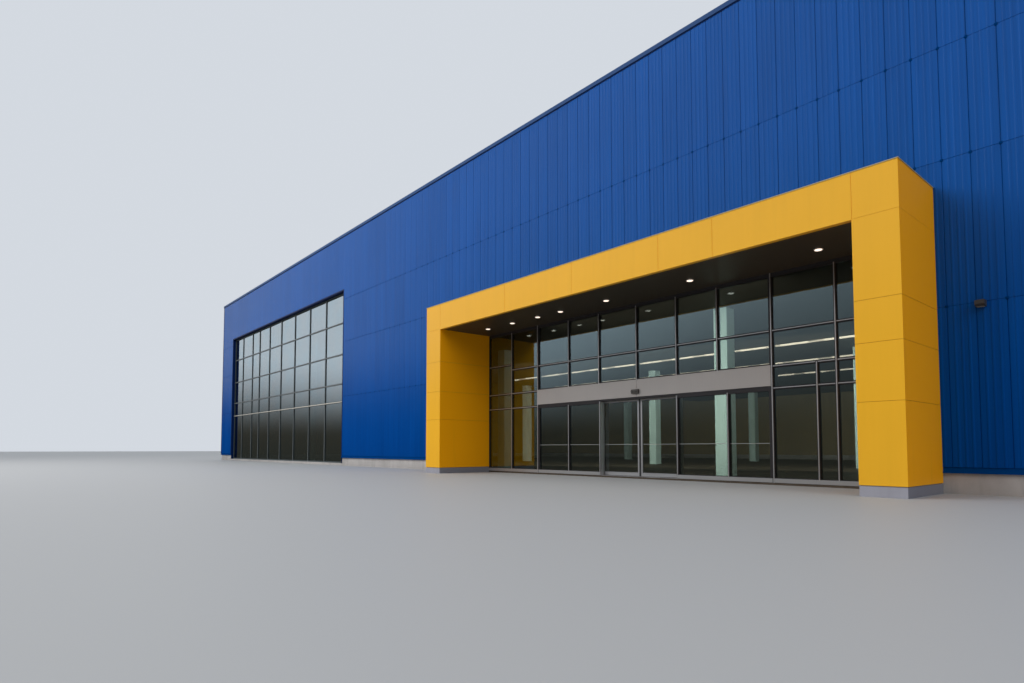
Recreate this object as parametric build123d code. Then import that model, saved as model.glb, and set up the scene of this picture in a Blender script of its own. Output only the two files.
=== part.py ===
from build123d import *
import math
import os

# Furniture store: a blue box hall with a yellow entrance portal, a tall side window
# and a pair of sliding entrance doors, as a 1:2 scale model.
# X runs along the front, Y runs from the front to the back, Z is up and 0 at the ground.
# Every size is the model's own, half the real one, in millimetres.

# Plan of the front, from the left corner to the right one
CORNER_WALL_WIDTH = 1350.0
WINDOW_WIDTH = 10000.0
MIDDLE_WALL_WIDTH = 5850.0
PORTAL_WIDTH = 7930.0
RIGHT_WALL_WIDTH = 5850.0
BUILDING_DEPTH = 18000.0

# Shell
WALL_THICKNESS = 250.0
WALL_TOP = 6330.0
PLINTH_HEIGHT = 205.0
PLINTH_SETBACK = 20.0
FLASHING_HEIGHT = 60.0
FLASHING_PROJECTION = 15.0
COPING_HEIGHT = 45.0
COPING_OVERHANG = 25.0
COPING_DRIP = 20.0
COPING_SHEET = 10.0
COPING_FALL = 25.0
FLOOR_HEIGHT = 25.0
PARAPET_HEIGHT = 430.0
ROOF_THICKNESS = 100.0

# Portal, with the shares of the entrance's width between the lights in its soffit
PORTAL_DEPTH = 1025.0
LINTEL_HEIGHT = 460.0
SOFFIT_HEIGHT = 2650.0
LEFT_PIER_WIDTH = 450.0
RIGHT_PIER_WIDTH = 400.0
PIER_BASE_HEIGHT = 105.0
PIER_BASE_SETBACK = 7.5
PORTAL_LINING = 30.0
PORTAL_LIP = 60.0
PORTAL_CAP_THICKNESS = 8.0
PORTAL_CAP_OVERHANG = 10.0
DOWNLIGHT_SPACES = (0.582, 0.688, 0.653, 0.536, 0.959, 1.432, 1.636, 0.594)
DOWNLIGHT_RADIUS = 50.0
DOWNLIGHT_CAN_RADIUS = 40.0
DOWNLIGHT_FLANGE = 6.0
DOWNLIGHT_FROM_FRONT = 660.0
DOWNLIGHT_HOLE_PLAY = 1.0

# Entrance glazing, with the shares of the doors' width that the bays over them take
FRAME_SETBACK = 120.0
FRAME_DEPTH = 75.0
FRAME_BAR = 30.0
FRAME_JAMB = 20.0
HEAD_BAR = 50.0
GLASS_SETBACK = 20.0
GLASS_THICKNESS = 15.0
DOOR_BANK_WIDTH = 4290.0
LEFT_SCREEN_WIDTH = 1453.0
DOORWAY_WIDTH = 1444.0
LEFT_SCREEN_BAY = 760.0
RIGHT_SCREEN_BAY = 610.0
BAYS_OVER_DOORS = (1.53, 1.35, 1.50, 1.41, 1.29, 1.50)
LEFT_SIDE_BAY = 710.0
RIGHT_SIDE_BAY = 765.0
SILL_RAIL = 60.0
DOOR_HEAD = 1200.0
HEADER_HEIGHT = 275.0
TRANSOM_ABOVE_HEADER = 445.0
END_TRANSOM_ABOVE_HEADER = 545.0
SPLIT_POST_FROM_JAMB = 850.0

# Sliding doors
LEAF_SETBACK = 210.0
LEAF_THICKNESS = 30.0
LEAF_STILE = 40.0
LEAF_BOTTOM_RAIL = 50.0
LEAF_OVERLAP = 25.0
LEAF_MEETING_GAP = 6.0
LEAF_FLOOR_GAP = 6.5
LEAF_INTO_HEADER = 15.0
LEAF_GLASS_THICKNESS = 10.0

# Header with the sliding gear
HEADER_SETBACK = 125.0
HEADER_DEPTH = 195.0
HEADER_SHEET = 10.0
HEADER_SLOT_PLAY = 7.5
TRACK_ABOVE_HEAD = 110.0
TRACK_SHEET = 7.5
TRACK_WEB_BEHIND_LEAF = 10.0
TRACK_BEAD_RADIUS = 3.0
TRACK_TOE = 1.0
WHEEL_TREAD_RADIUS = 16.0
WHEEL_FLANGE_DEPTH = 2.0
WHEEL_WIDTH = 11.0
WHEEL_PLAY = 0.3
WHEEL_SPACING = 80.0
AXLE_RADIUS = 4.0
HANGER_SHEET = 6.0
HANGER_LENGTH = 130.0
HANGER_INSET = 60.0
HANGER_FOOT = 22.5
GUIDE_THICKNESS = 6.0
GUIDE_HEIGHT = 25.0
GUIDE_LENGTH = 40.0
GUIDE_PLAY = 1.0
THRESHOLD_HEIGHT = 6.0
SENSOR_ABOVE_HEAD = 77.0
SENSOR_WIDTH = 130.0
SENSOR_DEPTH = 50.0
SENSOR_DEPTH_AT_FOOT = 35.0
SENSOR_DEPTH_AT_TOP = 30.0
SENSOR_HEIGHT = 65.0
SENSOR_NOSE_HEIGHT = 39.0

# Tall window, with the shares of its width and height that its bays and rows take
WINDOW_TOP = 4790.0
WINDOW_RECESS = 85.0
WINDOW_FRAME_DEPTH = 90.0
WINDOW_BAR = 35.0
WINDOW_SILL_HEIGHT = 60.0
WINDOW_TRIM = 15.0
WINDOW_BAYS = (1.92, 2.22, 1.57, 2.09, 2.26, 2.42, 2.43, 2.37, 2.66)
WINDOW_ROWS = (3.37, 1.00, 1.64, 1.76, 1.66)

# Wall light beside the portal
WALL_LIGHT_FROM_PORTAL = 371.0
WALL_LIGHT_UNDERSIDE = 1817.0
WALL_LIGHT_WIDTH = 78.0
WALL_LIGHT_DEPTH = 100.0
WALL_LIGHT_DEPTH_AT_FOOT = 75.0
WALL_LIGHT_HEIGHT = 58.0
WALL_LIGHT_NOSE_HEIGHT = 18.0

# Inside
DECK_THICKNESS = 175.0
COLUMN_SIZE = 225.0
COLUMN_SPACING = 5400.0
FIRST_COLUMN_FROM_PORTAL_EDGE = 3240.0
COLUMN_ROW_COUNT = 3
FIRST_COLUMN_ROW = 1500.0
COLUMN_ROW_SPACING = 5500.0
GIRDER_HEIGHT = 400.0
GIRDER_WIDTH = 175.0
GIRDER_FLANGE = 25.0
GIRDER_WEB = 15.0
LIGHT_ROW_COUNT = 3
FIRST_LIGHT_ROW = 5450.0
LIGHT_ROW_SPACING = 2600.0
LIGHT_STRIP_WIDTH = 80.0
LIGHT_STRIP_HEIGHT = 25.0
LIGHT_STRIP_END_GAP = 500.0

# Places worked out from the sizes
building_width = (CORNER_WALL_WIDTH + WINDOW_WIDTH + MIDDLE_WALL_WIDTH
                  + PORTAL_WIDTH + RIGHT_WALL_WIDTH)
left_face = -building_width / 2
right_face = building_width / 2
window_left = left_face + CORNER_WALL_WIDTH
window_right = window_left + WINDOW_WIDTH
portal_left = window_right + MIDDLE_WALL_WIDTH
portal_right = portal_left + PORTAL_WIDTH
entrance_left = portal_left + LEFT_PIER_WIDTH
entrance_right = portal_right - RIGHT_PIER_WIDTH
opening_left = entrance_left - PORTAL_LINING
opening_right = entrance_right + PORTAL_LINING
opening_top = SOFFIT_HEIGHT + PORTAL_LINING

front_face = (PORTAL_DEPTH + PORTAL_CAP_OVERHANG - BUILDING_DEPTH - COPING_OVERHANG) / 2
back_face = front_face + BUILDING_DEPTH
front_inside = front_face + WALL_THICKNESS
back_inside = back_face - WALL_THICKNESS
left_inside = left_face + WALL_THICKNESS
right_inside = right_face - WALL_THICKNESS
portal_front = front_face - PORTAL_DEPTH
portal_top = SOFFIT_HEIGHT + LINTEL_HEIGHT

frame_front = front_face + FRAME_SETBACK
leaf_front = front_face + LEAF_SETBACK
leaf_back = leaf_front + LEAF_THICKNESS
leaf_middle = (leaf_front + leaf_back) / 2
bank_left = (entrance_left + entrance_right - DOOR_BANK_WIDTH) / 2
bank_right = bank_left + DOOR_BANK_WIDTH
door_left = bank_left + LEFT_SCREEN_WIDTH
door_right = door_left + DOORWAY_WIDTH
door_centre = (door_left + door_right) / 2
header_top = DOOR_HEAD + HEADER_HEIGHT
transom_height = header_top + TRANSOM_ABOVE_HEADER
end_transom_height = header_top + END_TRANSOM_ABOVE_HEADER
header_left = bank_left + FRAME_BAR / 2
header_right = bank_right - FRAME_BAR / 2
leaf_bottom = FLOOR_HEIGHT + THRESHOLD_HEIGHT + LEAF_FLOOR_GAP
leaf_top = DOOR_HEAD + LEAF_INTO_HEADER
track_bottom = DOOR_HEAD + TRACK_ABOVE_HEAD
bead_top = track_bottom + TRACK_SHEET + TRACK_BEAD_RADIUS
wheel_radius = WHEEL_TREAD_RADIUS + WHEEL_FLANGE_DEPTH
wheel_height = bead_top + WHEEL_PLAY + WHEEL_TREAD_RADIUS
deck_underside = SOFFIT_HEIGHT
deck_top = deck_underside + DECK_THICKNESS
roof_underside = WALL_TOP - PARAPET_HEIGHT - ROOF_THICKNESS
girder_underside = roof_underside - GIRDER_HEIGHT


def block(x0, x1, y0, y1, z0, z1):
    """A plain slab or post between two corners."""
    corner = (Align.MIN, Align.MIN, Align.MIN)
    return Pos(x0, y0, z0) * Box(x1 - x0, y1 - y0, z1 - z0, align=corner)


def prism_along_x(outline, x0, x1):
    """A profile given as (y, z) points, drawn out along the front."""
    section = Plane.YZ * Polygon(*outline, align=None)
    return Pos(x0, 0, 0) * extrude(section, amount=x1 - x0, dir=(1, 0, 0))


def prism_along_y(outline, y0, y1):
    """A profile given as (x, z) points, drawn out from front to back."""
    section = Plane.XZ * Polygon(*outline, align=None)
    return Pos(0, y0, 0) * extrude(section, amount=y1 - y0, dir=(0, 1, 0))


def joined(pieces):
    """One solid from pieces that meet."""
    whole = pieces[0].fuse(*pieces[1:]) if len(pieces) > 1 else pieces[0]
    return whole.clean()


def group(pieces):
    """Like pieces of one sub-part that stay separate solids."""
    solids = [solid for piece in pieces for solid in piece.solids()]
    return Compound(children=solids) if len(solids) > 1 else solids[0]


def save(name, shape):
    export_step(shape, f"parts/{name}.step")


def bars_between(first, last, lines, width, edge_width):
    """Spans of the bars across one direction: an edge bar at each end and one on each line."""
    spans = [(first, first + edge_width)]
    spans += [(line - width / 2, line + width / 2) for line in lines]
    spans.append((last - edge_width, last))
    return spans


def cells_between(bars_x, bars_z):
    """The clear panes between the bars."""
    return [(left[1], right[0], low[1], high[0])
            for left, right in zip(bars_x, bars_x[1:])
            for low, high in zip(bars_z, bars_z[1:])]


def glazing_frame(bars_x, bars_z, front, depth):
    """A flat frame: a plate with every pane cut out of it."""
    plate = block(bars_x[0][0], bars_x[-1][1], front, front + depth, bars_z[0][0], bars_z[-1][1])
    panes = [block(x0, x1, front, front + depth, z0, z1)
             for x0, x1, z0, z1 in cells_between(bars_x, bars_z)]
    return plate.cut(*panes)


def panes_in(bars_x, bars_z, front, thickness):
    """A sheet of glass in every pane of a frame."""
    return [block(x0, x1, front, front + thickness, z0, z1)
            for x0, x1, z0, z1 in cells_between(bars_x, bars_z)]


def ground_floor():
    """The floor slab, with a tongue through the entrance to the line of the frames."""
    hall = block(left_inside, right_inside, front_inside, back_inside, 0, FLOOR_HEIGHT)
    tongue = block(opening_left, opening_right, frame_front, front_inside, 0, FLOOR_HEIGHT)
    return joined([hall, tongue])


def plinths():
    """The concrete foot of the walls, set back behind the cladding."""
    face = front_face + PLINTH_SETBACK
    back = back_face - PLINTH_SETBACK
    left = left_face + PLINTH_SETBACK
    right = right_face - PLINTH_SETBACK
    top = PLINTH_HEIGHT
    front = [
        block(left, window_left, face, front_inside, 0, top),
        block(window_right, opening_left, face, front_inside, 0, top),
        block(opening_right, right, face, front_inside, 0, top),
    ]
    save("front_plinth", group(front))
    save("side_plinths", group([
        block(left, left_inside, front_inside, back_inside, 0, top),
        block(right_inside, right, front_inside, back_inside, 0, top),
    ]))
    save("back_plinth", block(left, right, back_inside, back, 0, top))


def walls():
    """The clad walls, split beside and over the two openings of the front."""
    foot = PLINTH_HEIGHT
    top = WALL_TOP
    slabs = {
        "front_wall_left": (left_face, window_left, front_face, front_inside, foot, top),
        "front_wall_over_window": (window_left, window_right, front_face, front_inside,
                                   WINDOW_TOP, top),
        "front_wall_middle": (window_right, opening_left, front_face, front_inside, foot, top),
        "front_wall_over_entrance": (opening_left, opening_right, front_face, front_inside,
                                     opening_top, top),
        "front_wall_right": (opening_right, right_face, front_face, front_inside, foot, top),
        "left_wall": (left_face, left_inside, front_inside, back_inside, foot, top),
        "right_wall": (right_inside, right_face, front_inside, back_inside, foot, top),
        "back_wall": (left_face, right_face, back_inside, back_face, foot, top),
    }
    for name, corners in slabs.items():
        save(name, block(*corners))


def base_flashing():
    """The sloped drip that closes the foot of the cladding, one length for each stretch of wall."""
    foot = PLINTH_HEIGHT
    top = foot + FLASHING_HEIGHT

    def drip(face, outward):
        return [(face, foot), (face + outward * FLASHING_PROJECTION, foot), (face, top)]

    front = drip(front_face, -1)
    back = drip(back_face, 1)
    left = drip(left_face, -1)
    right = drip(right_face, 1)
    return group([
        prism_along_x(front, left_face, window_left),
        prism_along_x(front, window_right, portal_left),
        prism_along_x(front, portal_right, right_face),
        prism_along_x(back, left_face, right_face),
        prism_along_y(left, front_face, back_face),
        prism_along_y(right, front_face, back_face),
    ])


def coping():
    """The folded metal cap round the parapet: sloped inwards, with a drip down each face."""
    outer_x = building_width / 2 + COPING_OVERHANG
    inner_x = building_width / 2 - WALL_THICKNESS - COPING_OVERHANG
    outer_front = front_face - COPING_OVERHANG
    outer_back = back_face + COPING_OVERHANG
    inner_front = front_inside + COPING_OVERHANG
    inner_back = back_inside - COPING_OVERHANG
    low = WALL_TOP - COPING_DRIP
    top = WALL_TOP + COPING_HEIGHT
    sheet = COPING_SHEET

    def rail(outer, inner):
        """Section of the cap across the wall, from its outer drip to its inner one."""
        turn = 1 if inner > outer else -1
        return [
            (outer, low), (outer, top), (inner, top - COPING_FALL), (inner, low),
            (inner - turn * sheet, low), (inner - turn * COPING_OVERHANG, WALL_TOP),
            (outer + turn * COPING_OVERHANG, WALL_TOP), (outer + turn * sheet, low),
        ]

    def mitred(length, *plan):
        """A length of cap between the diagonal cuts at its two corners."""
        cut = Pos(0, 0, low) * extrude(Polygon(*plan, align=None), amount=top - low, dir=(0, 0, 1))
        return length.intersect(cut).solid()

    front = mitred(prism_along_x(rail(outer_front, inner_front), -outer_x, outer_x),
                   (-outer_x, outer_front), (outer_x, outer_front),
                   (inner_x, inner_front), (-inner_x, inner_front))
    back = mitred(prism_along_x(rail(outer_back, inner_back), -outer_x, outer_x),
                  (-outer_x, outer_back), (-inner_x, inner_back),
                  (inner_x, inner_back), (outer_x, outer_back))
    left = mitred(prism_along_y(rail(-outer_x, -inner_x), outer_front, outer_back),
                  (-outer_x, outer_front), (-inner_x, inner_front),
                  (-inner_x, inner_back), (-outer_x, outer_back))
    right = mitred(prism_along_y(rail(outer_x, inner_x), outer_front, outer_back),
                   (outer_x, outer_front), (outer_x, outer_back),
                   (inner_x, inner_back), (inner_x, inner_front))
    save("front_coping", front)
    save("back_coping", back)
    save("side_copings", group([left, right]))


def roof():
    """The roof deck between the parapets, and the steel girders under it."""
    save("roof_deck", block(left_inside, right_inside, front_inside, back_inside,
                            roof_underside, roof_underside + ROOF_THICKNESS))
    half = GIRDER_WIDTH / 2
    web = GIRDER_WEB / 2
    low = girder_underside
    high = roof_underside
    section = [
        (-half, low), (half, low), (half, low + GIRDER_FLANGE), (web, low + GIRDER_FLANGE),
        (web, high - GIRDER_FLANGE), (half, high - GIRDER_FLANGE), (half, high), (-half, high),
        (-half, high - GIRDER_FLANGE), (-web, high - GIRDER_FLANGE),
        (-web, low + GIRDER_FLANGE), (-half, low + GIRDER_FLANGE),
    ]
    girder = prism_along_y(section, front_inside, back_inside)
    save("roof_girders", group([Pos(x, 0, 0) * girder for x in column_lines()]))


def column_lines():
    """X of each line of columns: a regular grid that starts inside the entrance."""
    first = portal_right - FIRST_COLUMN_FROM_PORTAL_EDGE
    to_left = math.floor((first - left_inside - COLUMN_SIZE) / COLUMN_SPACING)
    to_right = math.floor((right_inside - COLUMN_SIZE - first) / COLUMN_SPACING)
    return [first + i * COLUMN_SPACING for i in range(-to_left, to_right + 1)]


def deck_edge():
    """X of the open edge of the upper floor: on the first line of columns beside the window."""
    beside_window = [x for x in column_lines() if x < window_right]
    return max(beside_window) - COLUMN_SIZE / 2


def posts(lines, low, high):
    half = COLUMN_SIZE / 2
    rows = [front_face + FIRST_COLUMN_ROW + i * COLUMN_ROW_SPACING
            for i in range(COLUMN_ROW_COUNT)]
    return [block(x - half, x + half, y - half, y + half, low, high) for x in lines for y in rows]


def inside():
    """The upper floor over the entrance hall, its columns and the lights under it."""
    edge = deck_edge()
    save("upper_floor_deck", block(edge, right_inside, front_inside, back_inside,
                                   deck_underside, deck_top))
    under_deck = [x for x in column_lines() if x > edge]
    in_tall_hall = [x for x in column_lines() if x < edge]
    save("columns", group(posts(under_deck, FLOOR_HEIGHT, deck_underside)
                          + posts(under_deck, deck_top, girder_underside)
                          + posts(in_tall_hall, FLOOR_HEIGHT, girder_underside)))
    low = deck_underside - LIGHT_STRIP_HEIGHT
    half = LIGHT_STRIP_WIDTH / 2
    rows = [front_face + FIRST_LIGHT_ROW + i * LIGHT_ROW_SPACING for i in range(LIGHT_ROW_COUNT)]
    strips = [block(edge + LIGHT_STRIP_END_GAP, right_inside - LIGHT_STRIP_END_GAP,
                    y - half, y + half, low, deck_underside) for y in rows]
    save("ceiling_light_strips", group(strips))


def portal_pier(outer, inner, opening):
    """One pier of the portal, with the lining that returns into the wall opening."""
    body = block(min(outer, inner), max(outer, inner), portal_front, front_face,
                 PIER_BASE_HEIGHT, SOFFIT_HEIGHT)
    lining = block(min(inner, opening), max(inner, opening), front_face, frame_front,
                   PIER_BASE_HEIGHT, SOFFIT_HEIGHT)
    return joined([body, lining])


def pier_base(outer, inner, opening):
    """The grey foot of a pier, a little inside the panels above it."""
    inset = PIER_BASE_SETBACK if outer < inner else -PIER_BASE_SETBACK
    inner_face = inner - inset
    outer_face = outer + inset
    foot = block(min(outer_face, inner_face), max(outer_face, inner_face),
                 portal_front + PIER_BASE_SETBACK, front_face, 0, PIER_BASE_HEIGHT)
    lining = block(min(inner_face, opening), max(inner_face, opening), front_face, frame_front,
                   0, PIER_BASE_HEIGHT)
    return joined([foot, lining])


def downlight_places():
    """Centres of the lights in the soffit, in one row."""
    y = portal_front + DOWNLIGHT_FROM_FRONT
    return [(x, y) for x in shared_lines(entrance_left, entrance_right, DOWNLIGHT_SPACES)]


def downlight(x, y, panel_low):
    """A recessed lamp: a flange against the soffit and its can up through the hole."""
    flange = Cylinder(DOWNLIGHT_RADIUS, DOWNLIGHT_FLANGE, align=(Align.CENTER, Align.CENTER, Align.MAX))
    can = Cylinder(DOWNLIGHT_CAN_RADIUS, PORTAL_LINING, align=(Align.CENTER, Align.CENTER, Align.MIN))
    return Pos(x, y, panel_low) * flange.fuse(can)


def portal():
    """The projecting frame round the entrance."""
    save("portal_left_pier", portal_pier(portal_left, entrance_left, opening_left))
    save("portal_right_pier", portal_pier(portal_right, entrance_right, opening_right))
    save("portal_bases", group([
        pier_base(portal_left, entrance_left, opening_left),
        pier_base(portal_right, entrance_right, opening_right),
    ]))

    lintel_outline = [
        (portal_front, SOFFIT_HEIGHT), (portal_front + PORTAL_LIP, SOFFIT_HEIGHT),
        (portal_front + PORTAL_LIP, opening_top), (front_face, opening_top),
        (front_face, portal_top), (portal_front, portal_top),
    ]
    span = prism_along_x(lintel_outline, entrance_left, entrance_right)
    left_end = block(portal_left, entrance_left, portal_front, front_face, SOFFIT_HEIGHT, portal_top)
    right_end = block(entrance_right, portal_right, portal_front, front_face,
                      SOFFIT_HEIGHT, portal_top)
    save("portal_lintel", joined([span, left_end, right_end]))

    soffit = block(entrance_left, entrance_right, portal_front + PORTAL_LIP, frame_front,
                   SOFFIT_HEIGHT, opening_top)
    hole = Cylinder(DOWNLIGHT_CAN_RADIUS + DOWNLIGHT_HOLE_PLAY, PORTAL_LINING,
                    align=(Align.CENTER, Align.CENTER, Align.MIN))
    holes = [Pos(x, y, SOFFIT_HEIGHT) * hole for x, y in downlight_places()]
    save("portal_soffit", soffit.cut(*holes))
    save("soffit_downlights", group([downlight(x, y, SOFFIT_HEIGHT) for x, y in downlight_places()]))
    save("portal_cap", block(portal_left - PORTAL_CAP_OVERHANG, portal_right + PORTAL_CAP_OVERHANG,
                             portal_front - PORTAL_CAP_OVERHANG, front_face,
                             portal_top, portal_top + PORTAL_CAP_THICKNESS))


def side_frame(bars, transoms, low_posts):
    """Frame and panes of the glazing beside the doors: a transom height for each bay between
    the bars, and extra posts below the header line."""
    front = frame_front
    glass_front = frame_front + GLASS_SETBACK
    bar = FRAME_BAR
    sill = (FLOOR_HEIGHT, FLOOR_HEIGHT + SILL_RAIL)
    door_line = (DOOR_HEAD - bar / 2, DOOR_HEAD + bar / 2)
    header_line = (header_top - bar / 2, header_top + bar / 2)
    head = (SOFFIT_HEIGHT - HEAD_BAR, opening_top)
    low_bars = sorted(bars + low_posts)
    parts = [(low_bars, [sill, door_line, header_line])]
    parts += [([left, right], [header_line, (height - bar / 2, height + bar / 2), head])
              for left, right, height in zip(bars, bars[1:], transoms)]
    frame = joined([glazing_frame(across, up, front, FRAME_DEPTH) for across, up in parts])
    glass = [pane for across, up in parts
             for pane in panes_in(across, up, glass_front, GLASS_THICKNESS)]
    return frame, group(glass)


def entrance_glazing():
    """The glazed wall across the back of the portal."""
    half = FRAME_BAR / 2
    glass_front = frame_front + GLASS_SETBACK

    left_jamb = (opening_left, entrance_left + FRAME_JAMB)
    left_post = (bank_left - half, bank_left + half)
    left_line = bank_left - LEFT_SIDE_BAY
    left_middle = (left_line - half, left_line + half)
    frame, glass = side_frame([left_jamb, left_middle, left_post],
                              [end_transom_height, transom_height], [])
    save("entrance_left_frame", frame)
    save("entrance_left_glass", glass)

    right_jamb = (entrance_right - FRAME_JAMB, opening_right)
    right_post = (bank_right - half, bank_right + half)
    right_line = bank_right + RIGHT_SIDE_BAY
    right_middle = (right_line - half, right_line + half)
    split_line = entrance_right - SPLIT_POST_FROM_JAMB
    split_post = (split_line - half, split_line + half)
    frame, glass = side_frame([right_post, right_middle, right_jamb],
                              [transom_height, transom_height], [split_post])
    save("entrance_right_frame", frame)
    save("entrance_right_glass", glass)

    lines = shared_lines(bank_left, bank_right, BAYS_OVER_DOORS)
    bars_x = bars_between(header_left, header_right, lines, FRAME_BAR, FRAME_BAR / 2)
    bars_z = [(header_top, header_top + FRAME_BAR),
              (transom_height - half, transom_height + half),
              (SOFFIT_HEIGHT - HEAD_BAR, opening_top)]
    save("clerestory_frame", glazing_frame(bars_x, bars_z, frame_front, FRAME_DEPTH))
    save("clerestory_glass", group(panes_in(bars_x, bars_z, glass_front, GLASS_THICKNESS)))

    rails = [(FLOOR_HEIGHT, FLOOR_HEIGHT + SILL_RAIL), (DOOR_HEAD - FRAME_BAR, DOOR_HEAD)]
    left_screen = bars_between(header_left, door_left + half, [bank_left + LEFT_SCREEN_BAY],
                               FRAME_BAR, FRAME_BAR)
    right_screen = bars_between(door_right - half, header_right, [bank_right - RIGHT_SCREEN_BAY],
                                FRAME_BAR, FRAME_BAR)
    save("screen_frames", group([glazing_frame(left_screen, rails, frame_front, FRAME_DEPTH),
                                 glazing_frame(right_screen, rails, frame_front, FRAME_DEPTH)]))
    save("screen_glass", group(panes_in(left_screen, rails, glass_front, GLASS_THICKNESS)
                               + panes_in(right_screen, rails, glass_front, GLASS_THICKNESS)))


def door_header():
    """The casing over the doors: a folded box with a slot below for the leaves."""
    front = front_face + HEADER_SETBACK
    back = front + HEADER_DEPTH
    sheet = HEADER_SHEET
    slot_front = leaf_front - HEADER_SLOT_PLAY
    slot_back = leaf_back + HEADER_SLOT_PLAY
    outline = [
        (front, DOOR_HEAD), (slot_front, DOOR_HEAD), (slot_front, DOOR_HEAD + sheet),
        (front + sheet, DOOR_HEAD + sheet), (front + sheet, header_top - sheet),
        (back - sheet, header_top - sheet), (back - sheet, DOOR_HEAD + sheet),
        (slot_back, DOOR_HEAD + sheet), (slot_back, DOOR_HEAD), (back, DOOR_HEAD),
        (back, header_top), (front, header_top),
    ]
    casing = prism_along_x(outline, header_left, header_right)
    left_end = block(header_left, header_left + sheet, front, back, DOOR_HEAD, header_top)
    right_end = block(header_right - sheet, header_right, front, back, DOOR_HEAD, header_top)
    return joined([casing, left_end, right_end])


def door_track():
    """The rail inside the header: a web down from its top, a foot and a round running bead."""
    web_front = leaf_back + TRACK_WEB_BEHIND_LEAF - TRACK_SHEET
    web_back = web_front + TRACK_SHEET
    foot_top = track_bottom + TRACK_SHEET
    bead_front = leaf_middle - TRACK_BEAD_RADIUS
    foot_front = bead_front - TRACK_TOE
    bead_back = leaf_middle + TRACK_BEAD_RADIUS
    high = header_top - HEADER_SHEET
    with BuildSketch(Plane.YZ) as section:
        with BuildLine():
            Polyline((bead_front, foot_top), (foot_front, foot_top), (foot_front, track_bottom),
                     (web_back, track_bottom), (web_back, high), (web_front, high),
                     (web_front, foot_top), (bead_back, foot_top))
            ThreePointArc((bead_back, foot_top), (leaf_middle, foot_top + TRACK_BEAD_RADIUS),
                          (bead_front, foot_top))
        make_face()
    start = header_left + HEADER_SHEET
    end = header_right - HEADER_SHEET
    return Pos(start, 0, 0) * extrude(section.sketch, amount=end - start, dir=(1, 0, 0))


def wheel(x):
    """A track wheel with a hollow tread that straddles the running bead, on its axle."""
    half = WHEEL_WIDTH / 2
    groove = TRACK_BEAD_RADIUS + WHEEL_PLAY
    section = Polygon(
        (-half, 0), (half, 0), (half, wheel_radius), (groove, wheel_radius),
        (groove / 2, WHEEL_TREAD_RADIUS), (-groove / 2, WHEEL_TREAD_RADIUS),
        (-groove, wheel_radius), (-half, wheel_radius), align=None)
    tyre = Rot(0, 0, 90) * revolve(section, axis=Axis.X)
    reach = leaf_middle - leaf_front - half
    axle = Rot(-90, 0, 0) * Cylinder(AXLE_RADIUS, reach, align=(Align.CENTER, Align.CENTER, Align.MIN))
    axle = Pos(0, leaf_front - leaf_middle, 0) * axle
    return Pos(x, leaf_middle, wheel_height) * tyre.fuse(axle)


def hanger(x):
    """A bent plate on the leaf's top that carries two wheels on the rail."""
    low = leaf_top
    high = wheel_height + wheel_radius
    plate_back = leaf_front + HANGER_SHEET
    outline = [
        (leaf_front, low), (leaf_front + HANGER_FOOT, low),
        (leaf_front + HANGER_FOOT, low + HANGER_SHEET), (plate_back, low + HANGER_SHEET),
        (plate_back, high), (leaf_front, high),
    ]
    plate = prism_along_x(outline, x - HANGER_LENGTH / 2, x + HANGER_LENGTH / 2)
    wheels = [wheel(x - WHEEL_SPACING / 2), wheel(x + WHEEL_SPACING / 2)]
    return joined([plate] + wheels)


def sliding_leaf(side, inner, outer):
    """A glazed leaf, from its meeting stile to its outer stile behind the screen post."""
    left = min(inner, outer)
    right = max(inner, outer)
    stile = LEAF_STILE
    bars_x = [(left, left + stile), (right - stile, right)]
    bars_z = [(leaf_bottom, leaf_bottom + LEAF_BOTTOM_RAIL), (leaf_top - stile, leaf_top)]
    frame = glazing_frame(bars_x, bars_z, leaf_front, LEAF_THICKNESS)
    groove_half = GUIDE_THICKNESS / 2 + GUIDE_PLAY
    groove = block(left, right, leaf_middle - groove_half, leaf_middle + groove_half,
                   leaf_bottom, FLOOR_HEIGHT + THRESHOLD_HEIGHT + GUIDE_HEIGHT + GUIDE_PLAY)
    save(f"{side}_leaf_frame", frame.cut(groove))
    pane_front = leaf_middle - LEAF_GLASS_THICKNESS / 2
    save(f"{side}_leaf_glass", group(panes_in(bars_x, bars_z, pane_front, LEAF_GLASS_THICKNESS)))
    inset = HANGER_INSET + HANGER_LENGTH / 2
    save(f"{side}_leaf_hangers", group([hanger(left + inset), hanger(right - inset)]))


def sliding_doors():
    """The two leaves, closed, and the threshold with its floor guides beside the doorway."""
    half_gap = LEAF_MEETING_GAP / 2
    sliding_leaf("left", door_centre - half_gap, door_left - LEAF_OVERLAP)
    sliding_leaf("right", door_centre + half_gap, door_right + LEAF_OVERLAP)

    top = FLOOR_HEIGHT + THRESHOLD_HEIGHT
    clear_left = door_left + FRAME_BAR / 2
    clear_right = door_right - FRAME_BAR / 2
    plate = block(clear_left, clear_right, frame_front, leaf_back + HEADER_SLOT_PLAY,
                  FLOOR_HEIGHT, top)
    half = GUIDE_THICKNESS / 2
    guides = [block(x, x + GUIDE_LENGTH, leaf_middle - half, leaf_middle + half,
                    FLOOR_HEIGHT, top + GUIDE_HEIGHT)
              for x in (clear_left, clear_right - GUIDE_LENGTH)]
    save("door_threshold", joined([plate] + guides))


def door_sensor():
    """The motion sensor on the face of the header, over the middle of the doorway."""
    face = front_face + HEADER_SETBACK
    low = DOOR_HEAD + SENSOR_ABOVE_HEAD
    top = low + SENSOR_HEIGHT
    outline = [
        (face, low), (face, top), (face - SENSOR_DEPTH_AT_TOP, top),
        (face - SENSOR_DEPTH, low + SENSOR_NOSE_HEIGHT),
        (face - SENSOR_DEPTH_AT_FOOT, low),
    ]
    return prism_along_x(outline, door_centre - SENSOR_WIDTH / 2, door_centre + SENSOR_WIDTH / 2)


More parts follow.
